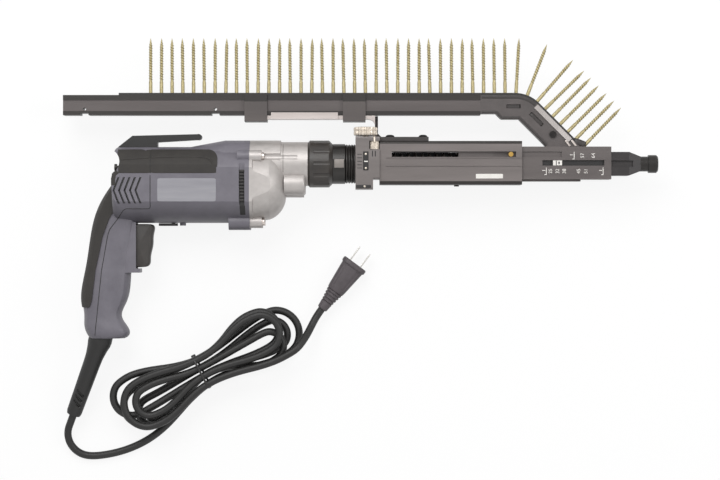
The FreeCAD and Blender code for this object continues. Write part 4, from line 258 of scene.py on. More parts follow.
def tubes(path, across, up, half_width, half_height, sides=10):
    """A rounded section carried along a path: each ring is the path's point plus half_width
    cos(a) along across and half_height sin(a) along up."""
    angle = round_turn(sides)
    side_step = half_width * np.cos(angle)[None, :, None] * across[:, None, :]
    up_step = half_height * np.sin(angle)[None, :, None] * up[:, None, :]
    return (path[:, None, :] + side_step + up_step)[None]


origin_pixel = (360.75, 188.075)


def from_frame(px, py, z):
    """A place on the tool from the pixel of the frame that shows it, and a height, in metres."""
    return np.stack(np.broadcast_arrays(
        (np.asarray(px) - origin_pixel[0]) / 1000, (origin_pixel[1] - np.asarray(py)) / 1000, z), -1)


def mirrored(rings):
    """The same shells once more on the tool's other side, reflected in its middle plane."""
    other = rings * np.array([1, 1, -1]) + np.array([0, 0, 2 * middle_plane])
    return np.concatenate([rings, other])


def block_piece(name, middles, halves, material, slot="black_plastic", body="tool", both=False, **form):
    """A piece of rounded blocks, and with both the same on the tool's other side."""
    rings = rounded_blocks(middles, halves, **form)
    return closed_shells(name, mirrored(rings) if both else rings, material, body)


def even_pace(corners, count, closed=False):
    """Places at an even pace along the straight lines that join the corners. On a closed line
    the last place, which is the first one again, is left out."""
    corners = np.asarray(corners, float)
    run = np.concatenate([[0], np.cumsum(np.linalg.norm(np.diff(corners, axis=0), axis=1))])
    spot = np.linspace(0, run[-1], count, endpoint=not closed)
    return np.stack([np.interp(spot, run, corners[:, axis]) for axis in (0, 1)], 1)


def surface_line(corners, spacing_mm, half_width):
    """A thin raised line on the solids: its corners in the frame joined at an even pace, and
    each place dropped straight down until it meets a surface."""
    length = np.linalg.norm(np.diff(corners, axis=0), axis=1).sum()
    flat = even_pace(corners, int(length / spacing_mm) + 2)
    above = from_frame(flat[:, 0], flat[:, 1], drop_height)
    graph = bpy.context.evaluated_depsgraph_get()
    drops = [bpy.context.scene.ray_cast(graph, start, (0, 0, -1)) for start in above.tolist()]
    path = np.array([drop[1] for drop in drops])
    forward = np.gradient(path, axis=0)
    across = unit(np.cross(np.broadcast_to(upward, path.shape), forward))
    return tubes(path, across, unit(np.cross(forward, across)), half_width, line_rise, 8)


drop_height, line_rise = 0.2, 0.00022
upward = np.array([0.0, 0.0, 1.0])
side_level = 0.068

# A satin grey whose grain breaks up the highlights.
dress(finish("glass-filled nylon", "#726f77", "#65626a", 18, 0.46, 0.7, 0.05), "motor_housing", "rear_cover")
# Near black with a faint metal glint.
black_oxide = finish("black oxide steel", "#2b2827", "#1f1d1c", 4, 0.36, 0.3, 0.01, 0.6)
dress(black_oxide, "cover_screws")
# Dull black for painted shade in slots and joints, and a charcoal that just parts from it.
shadow_nylon = finish("black painted shade nylon", "#191817", "#121110", 12, 0.6, 0.8, 0.03)
slat_nylon = finish("charcoal slat nylon", "#34312f", "#292625", 12, 0.55, 0.8, 0.03)
# A paler foil, brushed along the barrel.
plate_foil = finish("satin label foil", "#9b9a9f", "#8b8a90", 9, 0.42, 0.5, 0.008, 0.3, (0.1, 1, 1))

# Blocks of painted shade that fill the air slots, sunk a little below the surface.
first_slot, slot_row, slot_pitch, slot_reach = 120.1, 190.5, 5.4, 6.6
slot_rise = np.tile([1.0, -1.0], 5)
slot_columns = first_slot + slot_pitch * np.repeat(np.arange(5), 2)
slot_middles = from_frame(slot_columns, slot_row - slot_reach * slot_rise, side_level - 0.0007)
slot_lean = -slot_rise * math.atan2(5.0, 13.0)
block_piece("vent_slot_shade", slot_middles, (0.85, 6.6, 0.4), shadow_nylon, both=True, turns=slot_lean)

plate_pixel, plate_half = (189.0, 190.5), (29, 11.5, 0.2)
block_piece("rating_plate", from_frame(*plate_pixel, side_level), plate_half, plate_foil, "housing_plastic",
            boxy=0.1)

# A dark line of painted shade along the seam between the two shells.
seam_corners = [
    (153, 176), (153, 207.5), (151.5, 209), (129, 209), (126, 210.5), (111.8, 229), (109.5, 235),
    (103.3, 270), (96.6, 335)]
seam = mirrored(surface_line(seam_corners, 1.6, 0.0004))
closed_shells("housing_seam_shade", seam, shadow_nylon)

# A black floor of painted shade in the front air slot, under its slats.
vent_corners = [(242.7, 170.6), (244.2, 215.0)]
vent_shade_floor = surface_line(vent_corners, 0.8, 0.0028)
closed_shells("vent_shade_floor", mirrored(vent_shade_floor), shadow_nylon)
slat_column, first_slat, slat_pitch = 243.1, 171.8, 3.2
slat_rows = first_slat + slat_pitch * np.arange(10)
slat_middles = from_frame(slat_column, slat_rows, side_level - 0.0012)
block_piece("vent_grille", slat_middles, (2.6, 0.8, 0.6), slat_nylon, both=True)


# Rubber: thermoplastic elastomer moulded over the shells on the back of the grip and along
# the barrel's shoulders, soft to the hand. A rib stands along each shoulder band, aprons
# carry it down over the flat side, a bridge joins its halves and tails run on to the grip.

# Dull and dark, with hardly a highlight.
elastomer = finish("thermoplastic elastomer", "#33302d", "#272422", 12, 0.72, 0.9, 0.06)
dress(elastomer, "grip_overmould", "side_bands")

band_skin, barrel_axis_y = 0.0392, 0.003075
rib_half_width, rib_half_height = 0.0011, 0.0009


def on_skin(line, highest):
    """A line's places on the barrel's skin, and the way out from its axis there. The height over
    the axis is the square root of the skin's radius squared less the offset squared, held
    below highest."""
    offset = line[:, 1] - barrel_axis_y
    rise = np.minimum(np.sqrt(band_skin ** 2 - offset ** 2), highest - middle_plane)
    path = np.column_stack([line[:, :2], middle_plane + rise])
    return path, unit(np.column_stack([0 * offset, offset, rise]))


def band_rib(corners):
    """A rib on the barrel's skin: 40 places along its corners, an equal number from each corner to
    the next, and a rounded section that stands out from the skin."""
    line = from_frame(*np.transpose(corners), 0.0)
    step = np.linspace(0, len(line) - 1, 40)
    line = np.stack([np.interp(step, np.arange(len(line)), line[:, axis]) for axis in (0, 1)], 1)
    path, outward = on_skin(line, side_level - rib_half_height)
    across = unit(np.cross(outward, np.gradient(path, axis=0)))
    return tubes(path, across, outward, rib_half_width, rib_half_height)


front_rib_corners = [
    (154, 158.5), (170, 157.8), (186, 157.3), (200, 157.6), (208, 158.6), (212, 160.5), (214, 163),
    (215, 166)]
rear_rib_corners = [(124, 160.5), (134, 159.6), (144, 159.0), (151.5, 158.6)]
for name, corners in (("band_ribs", front_rib_corners), ("rear_band_ribs", rear_rib_corners)):
    closed_shells(name, mirrored(band_rib(corners)), elastomer)

apron_columns, apron_row = [137.0, 186.2], 170.4
apron_halves = [(15.5, 3.7, 0.5), (32.2, 3.7, 0.5)]
block_piece("band_aprons", from_frame(apron_columns, apron_row, side_level - 0.0003), apron_halves, elastomer,
            "overmould_rubber", both=True, boxy=0.14)

bridge_column, bridge_rows, bridge_sink = 151.8, (150.4, 173.8), 0.0009
bridge_line = from_frame(bridge_column, np.linspace(*bridge_rows, 40), 0.0)
bridge_path, bridge_out = on_skin(bridge_line, side_level + 0.0001)
bridge_across = np.broadcast_to([1.0, 0.0, 0.0], bridge_path.shape)
bridge = tubes(bridge_path - bridge_sink * bridge_out, bridge_across, bridge_out, 0.0042, 0.0010, 24)
closed_shells("band_bridge", mirrored(bridge), elastomer)
# A dark line of painted shade where the bridge crosses the joint between the shells.
split_shift = np.array([0.0012, 0.0, 0.0])
split = tubes(bridge_path + split_shift, bridge_across, bridge_out, 0.00035, 0.0002, 8)
closed_shells("band_split_shade", mirrored(split), shadow_nylon)

tail_corners = [(121.0, 172.4), (117.7, 175.0), (116.6, 179.5), (116.6, 186.0)]
tail = surface_line(tail_corners, 0.6, 0.0021)
closed_shells("band_tails", mirrored(tail), elastomer)


# Hook, trigger, lever and buttons: moulded nylon, smoother than the shells. The hook is screwed
# on, and the trigger slides in the shroud, its face hollowed twice for the fingers.

# Deep black with a soft sheen, and for the trigger a charcoal that stands out from it.
black_nylon = finish("black nylon", "#121110", "#0c0b0b", 15, 0.48, 0.6, 0.03)
trigger_nylon = finish("charcoal nylon", "#383431", "#2d2a28", 12, 0.5, 0.6, 0.03)
dress(black_nylon, "belt_hook", "reverse_lever", "lock_button", "brush_holders", "switch_body",
      "cooling_fan")

trigger_corners = [
    (130, 224), (151, 224), (154.4, 224.8), (155.4, 227), (154.3, 231.5), (153.3, 236.5), (153.3, 240.5),
    (153.4, 244), (152.4, 249), (151, 254), (150.5, 258.5), (150.9, 262), (150.2, 265), (147.5, 266.9),
    (141, 267.2), (130, 267.2), (130, 224)]
trigger_half, trigger_round = 0.0085, 0.0046
trigger_edge = even_pace(trigger_corners, 160, closed=True)
trigger_edge = np.mean([np.roll(trigger_edge, shift, 0) for shift in range(-4, 5)], 0)
along_edge = unit(np.roll(trigger_edge, -1, 0) - np.roll(trigger_edge, 1, 0))
# Towards each cheek the edge draws in by the round times 1 - cos of a quarter turn, in full at
# the finger face and by a fifth above and below, while the height goes out by its sin.
turn_over = np.linspace(0, math.pi / 2, 10)
draw_in = np.stack([np.maximum(along_edge[:, 1], 0), -0.2 * along_edge[:, 0]], 1)
drawn_by = 1000 * trigger_round * (1 - np.cos(turn_over))
cheek = trigger_edge[None] - drawn_by[:, None, None] * draw_in[None]
cheek = np.concatenate([cheek[::-1], cheek])
cheek_height = trigger_half - trigger_round * (1 - np.sin(turn_over))
cheek_height = np.concatenate([-cheek_height[::-1], cheek_height])
trigger_rings = from_frame(cheek[..., 0], cheek[..., 1], middle_plane + cheek_height[:, None])
trigger = closed_shells("trigger_dressed", trigger_rings[None], trigger_nylon, body="trigger")
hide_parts("trigger")


# Motor and gears: laminated and hardened steel, pressed, ground and oiled, inside the barrel.
# The commutator is copper alloy, and so are the pins on which the attachment travels.

# A smooth grey metal, and a smooth yellow one.
dress(finish("hardened steel", "#a09c98", "#84807c", 5, 0.3, 0.3, 0.01, 1.0), "field_stack", "armature",
      "rear_bearing", "front_bearing", "motor_pinion", "spindle_gear", "spindle_bearing", "spindle",
      "drive_bit")
dress(finish("yellow brass", "#c7a45c", "#a9864a", 4, 0.3, 0.4, 0.01, 1.0), "commutator", "travel_pins")


# Gear case: die-cast aluminium, shot-blasted, with a boss for the second shaft on its side and a
# joint behind it drawn as a grey line of painted shade. Its plate is the same alloy, and plated screws hold
# both to the housing.

# Pale and satin with a sandy grain.
cast_alloy = finish("die-cast aluminium", "#bbb6b3", "#ada8a5", 9, 0.44, 0.6, 0.025, 0.42)
dress(cast_alloy, "gear_case", "gear_plate")
# A dull grey line of painted shade along the joint between bright parts.
joint_shade = finish("grey painted joint shade", "#8f8a87", "#817c79", 6, 0.6, 0.5, 0.01)
# Small bright points.
plated = finish("zinc-plated steel", "#d2c9c2", "#b3aaa5", 4, 0.34, 0.4, 0.01, 0.9)
dress(plated, "belt_hook_screw", "gear_case_screws")

boss_pixel, boss_spread = (295.0, 184.2), 0.012
boss_reach, boss_radius, boss_round = 0.0105, 0.0111, 0.0024
quarter = np.linspace(0, math.pi / 2, 7)
boss_along = np.concatenate([[-boss_reach], boss_reach - boss_round * (1 - np.sin(quarter))])
boss_out = boss_radius - np.concatenate([[0], boss_round * (1 - np.cos(quarter))])
boss_angle = round_turn(64)
# Each ring of the boss is two half circles of radius boss_out, drawn apart along Z.
boss_rings = np.stack(np.broadcast_arrays(
    boss_along[:, None], boss_out[:, None] * np.cos(boss_angle),
    boss_out[:, None] * np.sin(boss_angle) + boss_spread * np.sign(np.sin(boss_angle))), -1)
boss_rings = boss_rings + from_frame(*boss_pixel, middle_plane)
closed_shells("case_shaft_boss", boss_rings[None], cast_alloy)
joint_corners = [(283.7, 144.6), (283.7, 172.6)]
joint_line = surface_line(joint_corners, 1.2, 0.0004)
closed_shells("case_joint_shade", mirrored(joint_line), joint_shade)


# Nose collar and adapter: the collar is moulded in black acetal and turns on the nose. The
# adapter is turned steel, blackened, with a flat milled on it for the clamp.

# A warm black with a satin sheen, a cooler black with a metal glint, and bare grey metal.
dress(finish("black acetal", "#38332f", "#2a2624", 14, 0.4, 0.8, 0.02), "nose_collar")
dress(finish("blackened steel", "#2b2826", "#1f1d1b", 10, 0.34, 0.5, 0.01, 0.3), "adapter_sleeve", "nose_tip")
milled = finish("milled steel flat", "#8d8782", "#79736f", 5, 0.36, 0.3, 0.01, 0.5)
flat_corners = [(334.5, 164.0), (344.0, 164.0)]
flat_line = surface_line(flat_corners, 1.5, 0.0042)
closed_shells("adapter_flat", flat_line, milled)


# Clamp block: a milled and anodised aluminium block that holds the attachment on the adapter. A
# fluted thumbwheel tightens it, a knurled nut and a pin lock the depth, a black index plate with
# a white line and engraved marks shows it, and a dark foot is screwed on below.

def turned_rings(profile, sides, place, way, across, swell=1.0):
    """Rings of a turned form: for each (along, out) of its profile in mm, the place plus along times
    the axis, plus out times swell round it."""
    profile = np.asarray(profile) / 1000
    angle = round_turn(sides)
    out = profile[:, 1:] * swell
    rings = (profile[:, :1, None] * way + (out * np.cos(angle))[..., None] * across
             + (out * np.sin(angle))[..., None] * np.cross(way, across))
    return (rings + np.asarray(place))[None]


# A mid grey with fine streaks along the tool.
dress(finish("grey anodised aluminium", "#7b7573", "#6b6563", 20, 0.42, 0.35, 0.012, 0.3, (0.12, 1, 1)),
      "clamp_block")
# A warm bright metal, a flat black that marks show on, and a clean matt white.
nickel = finish("nickel-plated brass", "#d9cfc2", "#c2b7a9", 4, 0.42, 0.4, 0.01, 0.55)
index_black = finish("black index plate", "#1d1b1b", "#141313", 8, 0.45, 0.5, 0.01)
enamel = finish("white enamel", "#f2efea", "#e6e2dc", 6, 0.5, 0.5, 0.01)
x_axis, y_axis = np.array([1.0, 0.0, 0.0]), np.array([0.0, 1.0, 0.0])

wheel_place, wheel_sides = (0.00483, 0.044075, 0.042), 160
flute_count, flute_depth, flute_from = 20, 0.035, 11
wheel_profile = np.array([
    (0, 0.1), (0, 3), (8, 3), (8, 10.2), (8.4, 11.4), (9.3, 11.9), (11.2, 11.9), (11.6, 11.6), (12.9, 11.6),
    (13.3, 11.9), (15.2, 11.9), (16.1, 11.4), (16.5, 10.2), (16.5, 6.2), (15.8, 5.5), (15.8, 0.1)])
# The rim swells and sinks as a clipped cos round the wheel.
flute = np.clip(np.cos(flute_count * round_turn(wheel_sides)) * 1.6, -1, 1)
wheel_swell = 1 - flute_depth * np.where(wheel_profile[:, 1:] > flute_from, 1.0, 0.0) * (1 - flute)
thumbwheel = closed_shells(
    "clamp_thumbwheel_dressed",
    turned_rings(wheel_profile, wheel_sides, wheel_place, y_axis, x_axis, wheel_swell), nickel,
    "clamp_thumbwheel", 30)
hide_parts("clamp_thumbwheel")

nut_place, nut_sides = (0.01355, 0.038075, 0.0488), 96
knurl_count, knurl_lead, knurl_depth, knurl_from = 16, 2.8, 0.06, 4.6
nut_along = [0, 0, 0.4, *np.linspace(0.8, 7.7, 12), 8.1, 8.5, 8.5, 13.5, 13.5]
nut_out = [0.1, 4.2, 4.6, *[4.75] * 12, 4.6, 4.2, 1.1, 1.1, 0.1]
nut_profile = np.column_stack([nut_along, nut_out])
# Two screw-wise cos waves of opposite hand cross, and the higher one stands.
knurl_turn = knurl_count * round_turn(nut_sides)
twist = nut_profile[:, :1] * 2 * math.pi / knurl_lead
knurl = np.maximum(np.cos(knurl_turn + twist), np.cos(knurl_turn - twist))
nut_swell = 1 - knurl_depth * np.where(nut_profile[:, 1:] > knurl_from, 1.0, 0.0) * (1 - knurl)
lock_nut = closed_shells(
    "lock_nut_dressed", turned_rings(nut_profile, nut_sides, nut_place, y_axis, x_axis, nut_swell), nickel,
    crease=30)
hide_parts("lock_nut")

block_face = 0.054
index_pixel, index_screw_rows, line_pixel = (365.75, 161.5), (154.6, 168.6), (366.0, 162.0)
mark_column, mark_rows = 359.6, [155.0, 158.4, 162.0, 165.4, 168.6]
pin_pixel, pin_slot_columns, pin_slot_row = (374.3, 143.0), [372.4, 375.2], 154.2
foot_pixel, foot_screw_pixel = (363.4, 186.8), (364.6, 186.8)
small_screw = [(-0.4, 0.1), (-0.4, 1.1), (0, 1.1), (0.3, 0.8), (0.4, 0.1)]
pin_profile = [(0, 0.1), (0, 1.1), (5.1, 1.1), (5.5, 0.8), (5.5, 0.1)]

index_plate = block_piece(
    "index_plate", from_frame(*index_pixel, block_face - 0.0008), (2.6, 9.4, 0.6), index_black)
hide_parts("depth_index")
index_screws = np.concatenate([
    turned_rings(small_screw, 16, from_frame(index_pixel[0], row, block_face - 0.0002), upward, x_axis)
    for row in index_screw_rows])
closed_shells("index_screws", index_screws, nickel)
line_place = from_frame(*line_pixel, block_face - 0.0001)
block_piece("index_line", line_place, (1.9, 0.6, 0.2), enamel, "plated_steel")
mark_places = from_frame(mark_column, mark_rows, block_face)
block_piece("depth_marks", mark_places, (2.4, 0.32, 0.15), index_black)
lock_pin = turned_rings(pin_profile, 20, from_frame(*pin_pixel, block_face - 0.0002), y_axis, x_axis)
closed_shells("lock_pin", lock_pin, nickel)
# Two black strips of painted shade stand for the slots by the lock pin.
pin_slot_shade = from_frame(pin_slot_columns, pin_slot_row, block_face)
block_piece("pin_slot_shade", pin_slot_shade, (0.5, 3, 0.15), index_black)
foot_place = from_frame(*foot_pixel, block_face - 0.0003)
block_piece("clamp_foot", foot_place, (7.6, 1.6, 0.6), index_black)
foot_screw = turned_rings(small_screw, 16, from_frame(*foot_screw_pixel, block_face + 0.0003), upward, x_axis)
closed_shells("clamp_foot_screw", foot_screw, nickel)


# Outer housing: an aluminium extrusion, anodised grey, with painted shade darkening its rolled edges. The
# return spring of patented steel wire shows through the slots in its sides, the far slot is
# darkened with painted shade by a dark strip and a dark block on the slide, and the label is left bare.

def shade_banded_finish(name, lit, shaded, dark, low, high, roughness, metallic):
    """The anodised finish drawn along X, with painted shade where Y lies below low or above high: near-black
    bands that stand for the shade on rolled edges.
    """
    material = finish(name, lit, shaded, 20, roughness, 0.35, 0.012, metallic, (0.12, 1, 1))
    shader = next(node for node in material.node_tree.nodes if node.type == "BSDF_PRINCIPLED")
    colour = shader.inputs["Base Color"]
    place = add_node(material, "ShaderNodeTexCoord")
    height = add_node(material, "ShaderNodeSeparateXYZ", links={0: place.outputs["Object"]})
    centre, half, blur = (low + high) / 2, (high - low) / 2, 0.0002
    off_centre = add_node(
        material, "ShaderNodeMath", {1: centre}, {0: height.outputs["Y"]}, operation="SUBTRACT")
    distance = add_node(material, "ShaderNodeMath", links={0: off_centre.outputs[0]}, operation="ABSOLUTE")
    edge = add_node(
        material, "ShaderNodeMapRange", {"From Min": half - blur, "From Max": half + blur},
        {"Value": distance.outputs[0]})
    tone = add_node(
        material, "ShaderNodeMix", {7: linear(dark)},
        {"Factor": edge.outputs[0], 6: colour.links[0].from_socket}, data_type="RGBA")
    material.node_tree.links.new(tone.outputs[2], colour)
    return material


# A mid grey with streaks along it, and painted shade as two near-black bands on its rolled edges.
dress(shade_banded_finish("anodised extrusion with painted edge shade", "#7b7472", "#6a6462", "#2a2624", 0.0066, 0.0436, 0.42, 0.3),
      "outer_housing")
# A grey glint on each coil.
spring_steel = finish("patented spring wire", "#847d79", "#6d6662", 5, 0.36, 0.3, 0.01, 0.6)

spring_turns, coil_radius, wire_radius = 11, 0.0100, 0.0009
spring_start, spring_end, drive_height = 0.01975, 0.09625, 0.024075
# The wire's path is a coil: an even pace along X, with cos and sin of the angle about the axis.
wire_angle = np.linspace(0, spring_turns * 2 * math.pi, spring_turns * 22 + 1)
wire_out = np.column_stack([0 * wire_angle, np.cos(wire_angle), np.sin(wire_angle)])
wire_axis = np.column_stack(np.broadcast_arrays(
    np.linspace(spring_start, spring_end, len(wire_angle)), drive_height, middle_plane))
wire_path = wire_axis + coil_radius * wire_out
wire_side = unit(np.cross(np.gradient(wire_path, axis=0), wire_out))
spring = closed_shells(
    "return_spring_wire", tubes(wire_path, wire_out, wire_side, wire_radius, wire_radius, 8), spring_steel,
    None, 60)
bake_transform(spring)
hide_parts("return_spring")

outer_face, side_slot_y, label_pixel = 0.051, 0.033325, (488.5, 176.6)
label_middle = from_frame(*label_pixel, outer_face)
block_piece("bare_label", label_middle, (13.5, 2.3, 0.12), enamel, "extruded_alloy", boxy=0.1)
# A dark strip on the far slot and a dark block riding the slide: painted shade that keeps the far slot dark
# through the near one.
block_piece("far_slot_shade_strip", (0.0610, side_slot_y, 0.0178), (30.2, 2.7, 0.6), index_black, boxy=0.1)
shade_block_place = (0.0943, side_slot_y, 0.0198)
block_piece("far_slot_shade_block", shade_block_place, (3.4, 2.6, 0.6), index_black, body="feed_slide", boxy=0.1)


# Feed slide: an aluminium extrusion, anodised dark, that runs in the outer housing on brass
# pins. The scale beside its index slot is printed in white: marks and plain figures that
# read up the tool.

# A darker grey with streaks along the tool.
dress(finish("dark anodised aluminium", "#6b6563", "#5a5453", 20, 0.42, 0.35, 0.012, 0.28, (0.12, 1, 1)),
      "feed_slide")

slide_face = 0.047
foot_columns, bar_columns, bracket_rows = [571.5, 544.0, 600.5], [573.0, 545.3, 601.8], [156.0, 171.5, 171.5]
foot_shift, head_shift = np.array([-0.0012, 0.0007, 0.0]), np.array([-0.0008, -0.0035, 0.0])
scale_feet = from_frame(foot_columns, bracket_rows, slide_face) + foot_shift
scale_bars = from_frame(bar_columns, bracket_rows, slide_face)
scale_marks = np.concatenate([
    rounded_blocks(scale_bars, (0.35, 3.7, 0.1)), rounded_blocks(scale_feet, (1.5, 0.35, 0.1)),
    rounded_blocks(scale_bars + head_shift, (1.1, 0.35, 0.1))])
closed_shells("scale_marks", scale_marks, enamel, "feed_slide")


def figure_mesh(text, spot):
    """A printed figure as a thin solid: its outline turned a quarter, so (x, y) goes to
    (-y, x), and set down with its middle on the spot."""
    curve = bpy.data.curves.new("figure", "FONT")
    curve.body, curve.size, curve.extrude = text, figure_height, figure_thickness
    curve.align_x, curve.align_y, curve.resolution_u = "CENTER", "CENTER", 3
    pattern = add_object("figure", curve)
    bpy.context.view_layer.update()
    shape = bpy.data.meshes.new_from_object(pattern.evaluated_get(bpy.context.evaluated_depsgraph_get()))
    bpy.data.objects.remove(pattern)
    points = np.empty(len(shape.vertices) * 3)
    shape.vertices.foreach_get("co", points)
    x, y, z = points.reshape(-1, 3).T
    shape.vertices.foreach_set("co", (np.column_stack([-y, x, z]) + spot).ravel())
    shape.update()
    return shape


figure_height, figure_thickness, lower_row, upper_row = 0.0050, 0.00006, 171.5, 156.0
figures = [
    ("25", 549.5, lower_row), ("32", 556.5, lower_row), ("38", 563.2, lower_row), ("45", 577.5, lower_row),
    ("51", 584.8, lower_row), ("57", 581.3, upper_row), ("64", 592.0, upper_row)]
printed = bmesh.new()
for text, column, row in figures:
    printed.from_mesh(figure_mesh(text, from_frame(column, row, slide_face)))
figure_print = bpy.data.meshes.new("scale_figures")
printed.to_mesh(figure_print)
printed.free()
figure_print.materials.append(enamel)
scale_figures = add_object("scale_figures", figure_print)
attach(scale_figures, "feed_slide")


# Nosepiece: an aluminium casting, anodised darker, whose two arms slide out of the feed slide.
# A black strip of painted shade on it and a black floor of painted shade on the slide darken the index slot
# under the white pointer that shows the screw's length, and a blackened steel tip bears on the board.

# Near black, with a dim metal sheen.
dress(finish("dark cast aluminium", "#2f2b2b", "#232021", 12, 0.46, 0.5, 0.02, 0.15), "nosepiece")
dress(enamel, "length_pointer")

# Thin black sheets of painted shade on the floor of the index slot.
index_slot_y, pointer_top = 0.024825, 0.047
block_piece("index_slot_shade_strip", (0.2157, index_slot_y, 0.04402), (26.2, 2.45, 0.04), index_black,
            body="nosepiece", boxy=0.1)
block_piece("index_slot_shade_floor", (0.1848, index_slot_y, 0.0440), (4, 2.45, 0.2), index_black,
            body="feed_slide", boxy=0.1)
pointer_spots = [(0.1945, index_slot_y, pointer_top), (0.1972, index_slot_y, pointer_top)]
pointer_halves = [(0.4, 2.2, 0.1), (0.7, 1.2, 0.1)]
block_piece("pointer_marks", pointer_spots, pointer_halves, index_black, body="nosepiece")


# Magazine: an extruded rail with a channel for the strip, anodised, with painted shade as a dark top and
# foot on it and as dark edges on its two sprung clips, held by the clips on a plated steel bar and a black
# bracket on the outer housing. Black socket-head screws hold the bracket.

# Streaked greys between near-black bands of painted shade on the edges, a brushed bright bar, and a dull
# black coat.
dress(shade_banded_finish("anodised rail with painted edge shade", "#5e5857", "#514b4a", "#2c2927", 0.0766, 0.0876, 0.42, 0.28),
      "magazine_rail")
dress(shade_banded_finish("anodised clip with painted edge shade", "#5a5452", "#4d4847", "#2c2927", 0.0664, 0.0860, 0.4, 0.3),
      "rear_clip", "front_clip")
dress(finish("brushed steel", "#c4bbb7", "#aaa19d", 14, 0.36, 0.4, 0.01, 0.7, (0.08, 1, 1)), "magazine_bar")
dress(finish("black powder coat", "#3b3634", "#2f2b2a", 9, 0.5, 0.5, 0.02), "magazine_bracket")

cap_seat_y, cap_places, cap_sides, socket_from = 0.050775, (0.02925, 0.06225), 36, 8
cap_profile = [
    (-7, 0.1), (-7, 2), (0, 2), (0, 4.4), (0.8, 4.5), (1.6, 4),
    (2.2, 3), (2.5, 2.2), (2.5, 1.5), (0.8, 1.4), (0.8, 0.1)]
# The socket's rings swell to a hexagon: 1 / cos of the angle off the nearest flat's middle.
off_flat = np.mod(round_turn(cap_sides) + math.pi / 6, math.pi / 3) - math.pi / 6
in_socket = np.arange(len(cap_profile))[:, None] >= socket_from
socket_swell = np.where(in_socket, 1 / np.cos(off_flat), 1.0)
bracket_caps = np.concatenate([
    turned_rings(cap_profile, cap_sides, (x, cap_seat_y, middle_plane), y_axis, x_axis, socket_swell)
    for x in cap_places])
bracket_screws = closed_shells("bracket_cap_screws", bracket_caps, black_oxide, crease=30)
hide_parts("bracket_screws")


# Strip and screws: a black polypropylene band with drywall screws pressed through it, heads
# down in the rail. The screws are cold-headed and roll-threaded steel with a coarse thread
# and a khaki ceramic coat, and each leans a little in its hole.

# A soft black band, and screws of a dry khaki that still glints on its crests.
dress(finish("black polypropylene", "#2a2726", "#1f1d1c", 10, 0.45, 0.7, 0.02), "collation_strip")
screw_coat = finish("ceramic-coated steel", "#b9ad83", "#978b63", 3, 0.44, 0.4, 0.02, 0.35)

screw_count, screw_pitch, first_screw = 43, 0.01074, -0.21005
bend_start, bend_radius, rail_top = 0.15375, 0.032, 0.092575
head_offset, screw_length, point_length = -0.00615, 0.0635, 0.008
core_radius, crest_radius, thread_pitch, thread_start = 0.00145, 0.00212, 0.0026, 0.0195


def screw_places():
    """Where each screw's head sits and the way it points. Along the strip's line a screw at
    run s past the bend's start leans by s / radius, up to an eighth of a turn, then goes on
    down the slope. Its own small lean is drawn from a fixed seed."""
    run = first_screw + screw_pitch * np.arange(screw_count) - bend_start
    turn = np.clip(run / bend_radius, 0, math.pi / 4)
    past = run - bend_radius * turn
    x = bend_start + bend_radius * np.sin(turn) + past * np.cos(turn)
    y = rail_top - bend_radius + bend_radius * np.cos(turn) - past * np.sin(turn)
    own_lean = np.clip(np.random.default_rng(7).normal(0, 0.7, screw_count), -1.5, 1.5)
    lean = turn + np.radians(own_lean)
    way = np.stack([np.sin(lean), np.cos(lean), 0 * lean], 1)
    spot = np.stack([x, y, np.full(screw_count, middle_plane)], 1)
    return spot + head_offset * way, way


screw_spots, screw_ways = screw_places()
screw_across = np.stack([screw_ways[:, 1], -screw_ways[:, 0], 0 * screw_ways[:, 0]], 1)


def on_screws(along, out, angle):
    """Points at a distance along each screw's axis and out from it, at an angle round it."""
    return (screw_spots[:, None, None, :] + along[None, ..., None] * screw_ways[:, None, None, :]
            + (out * np.cos(angle))[None, ..., None] * screw_across[:, None, None, :]
            + (out * np.sin(angle))[None, ..., None] * upward)


core_profile = np.array([
    (0.0012, 0.0004), (0.0003, 0.0012), (0.0, 0.0024), (0.0002, 0.004), (0.0006, 0.0042), (0.0013, 0.003),
    (0.0026, 0.0019), (0.0032, 0.0018), (0.0195, 0.0018), (0.0205, core_radius), (0.05, core_radius),
    (screw_length - point_length, core_radius), (screw_length - 0.003, 0.0007), (screw_length, 0.0001)])
cores = on_screws(core_profile[:, :1], core_profile[:, 1:], round_turn(10))
collated_screws = closed_shells("collated_screws_dressed", cores, screw_coat, "feed_slide")

# The thread winds round by its pitch, its root sunk in the core and its crest dying out at both
# ends: a share that rises over thread_rise, and falls over the point.
root_share, thread_rise, thread_margin, least_crest = 0.8, 0.002, 0.0015, 0.12
thread_run = np.arange(0, screw_length - thread_margin - thread_start, thread_pitch / 9)
thread_angle = thread_run / thread_pitch * 2 * math.pi
taper = np.clip((screw_length - thread_start - thread_run) / point_length, least_crest, 1)
taper = taper * np.clip(thread_run / thread_rise, 0, 1)
core_here = np.interp(thread_start + thread_run, core_profile[8:, 0], core_profile[8:, 1])
root = np.minimum(core_radius * root_share, core_here * root_share)
crest = root + (crest_radius - core_radius * root_share) * taper
flank = thread_pitch * np.array([-0.3, 0.0, 0.3])
threads = on_screws(
    thread_start + thread_run[:, None] + flank, np.stack([root, crest, root], 1), thread_angle[:, None])
closed_shells("collated_screw_threads", threads, screw_coat, "feed_slide")
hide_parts("collated_screws")


# Front guide: a moulded black-grey guide that turns the strip down to the bit. Low rims along its
# edges carry painted shade, slots lighten its cheeks and dark liners of painted shade fill them, a steel
# strip covers the slope, and two spring leaves with a black stop hold the next screw in line.

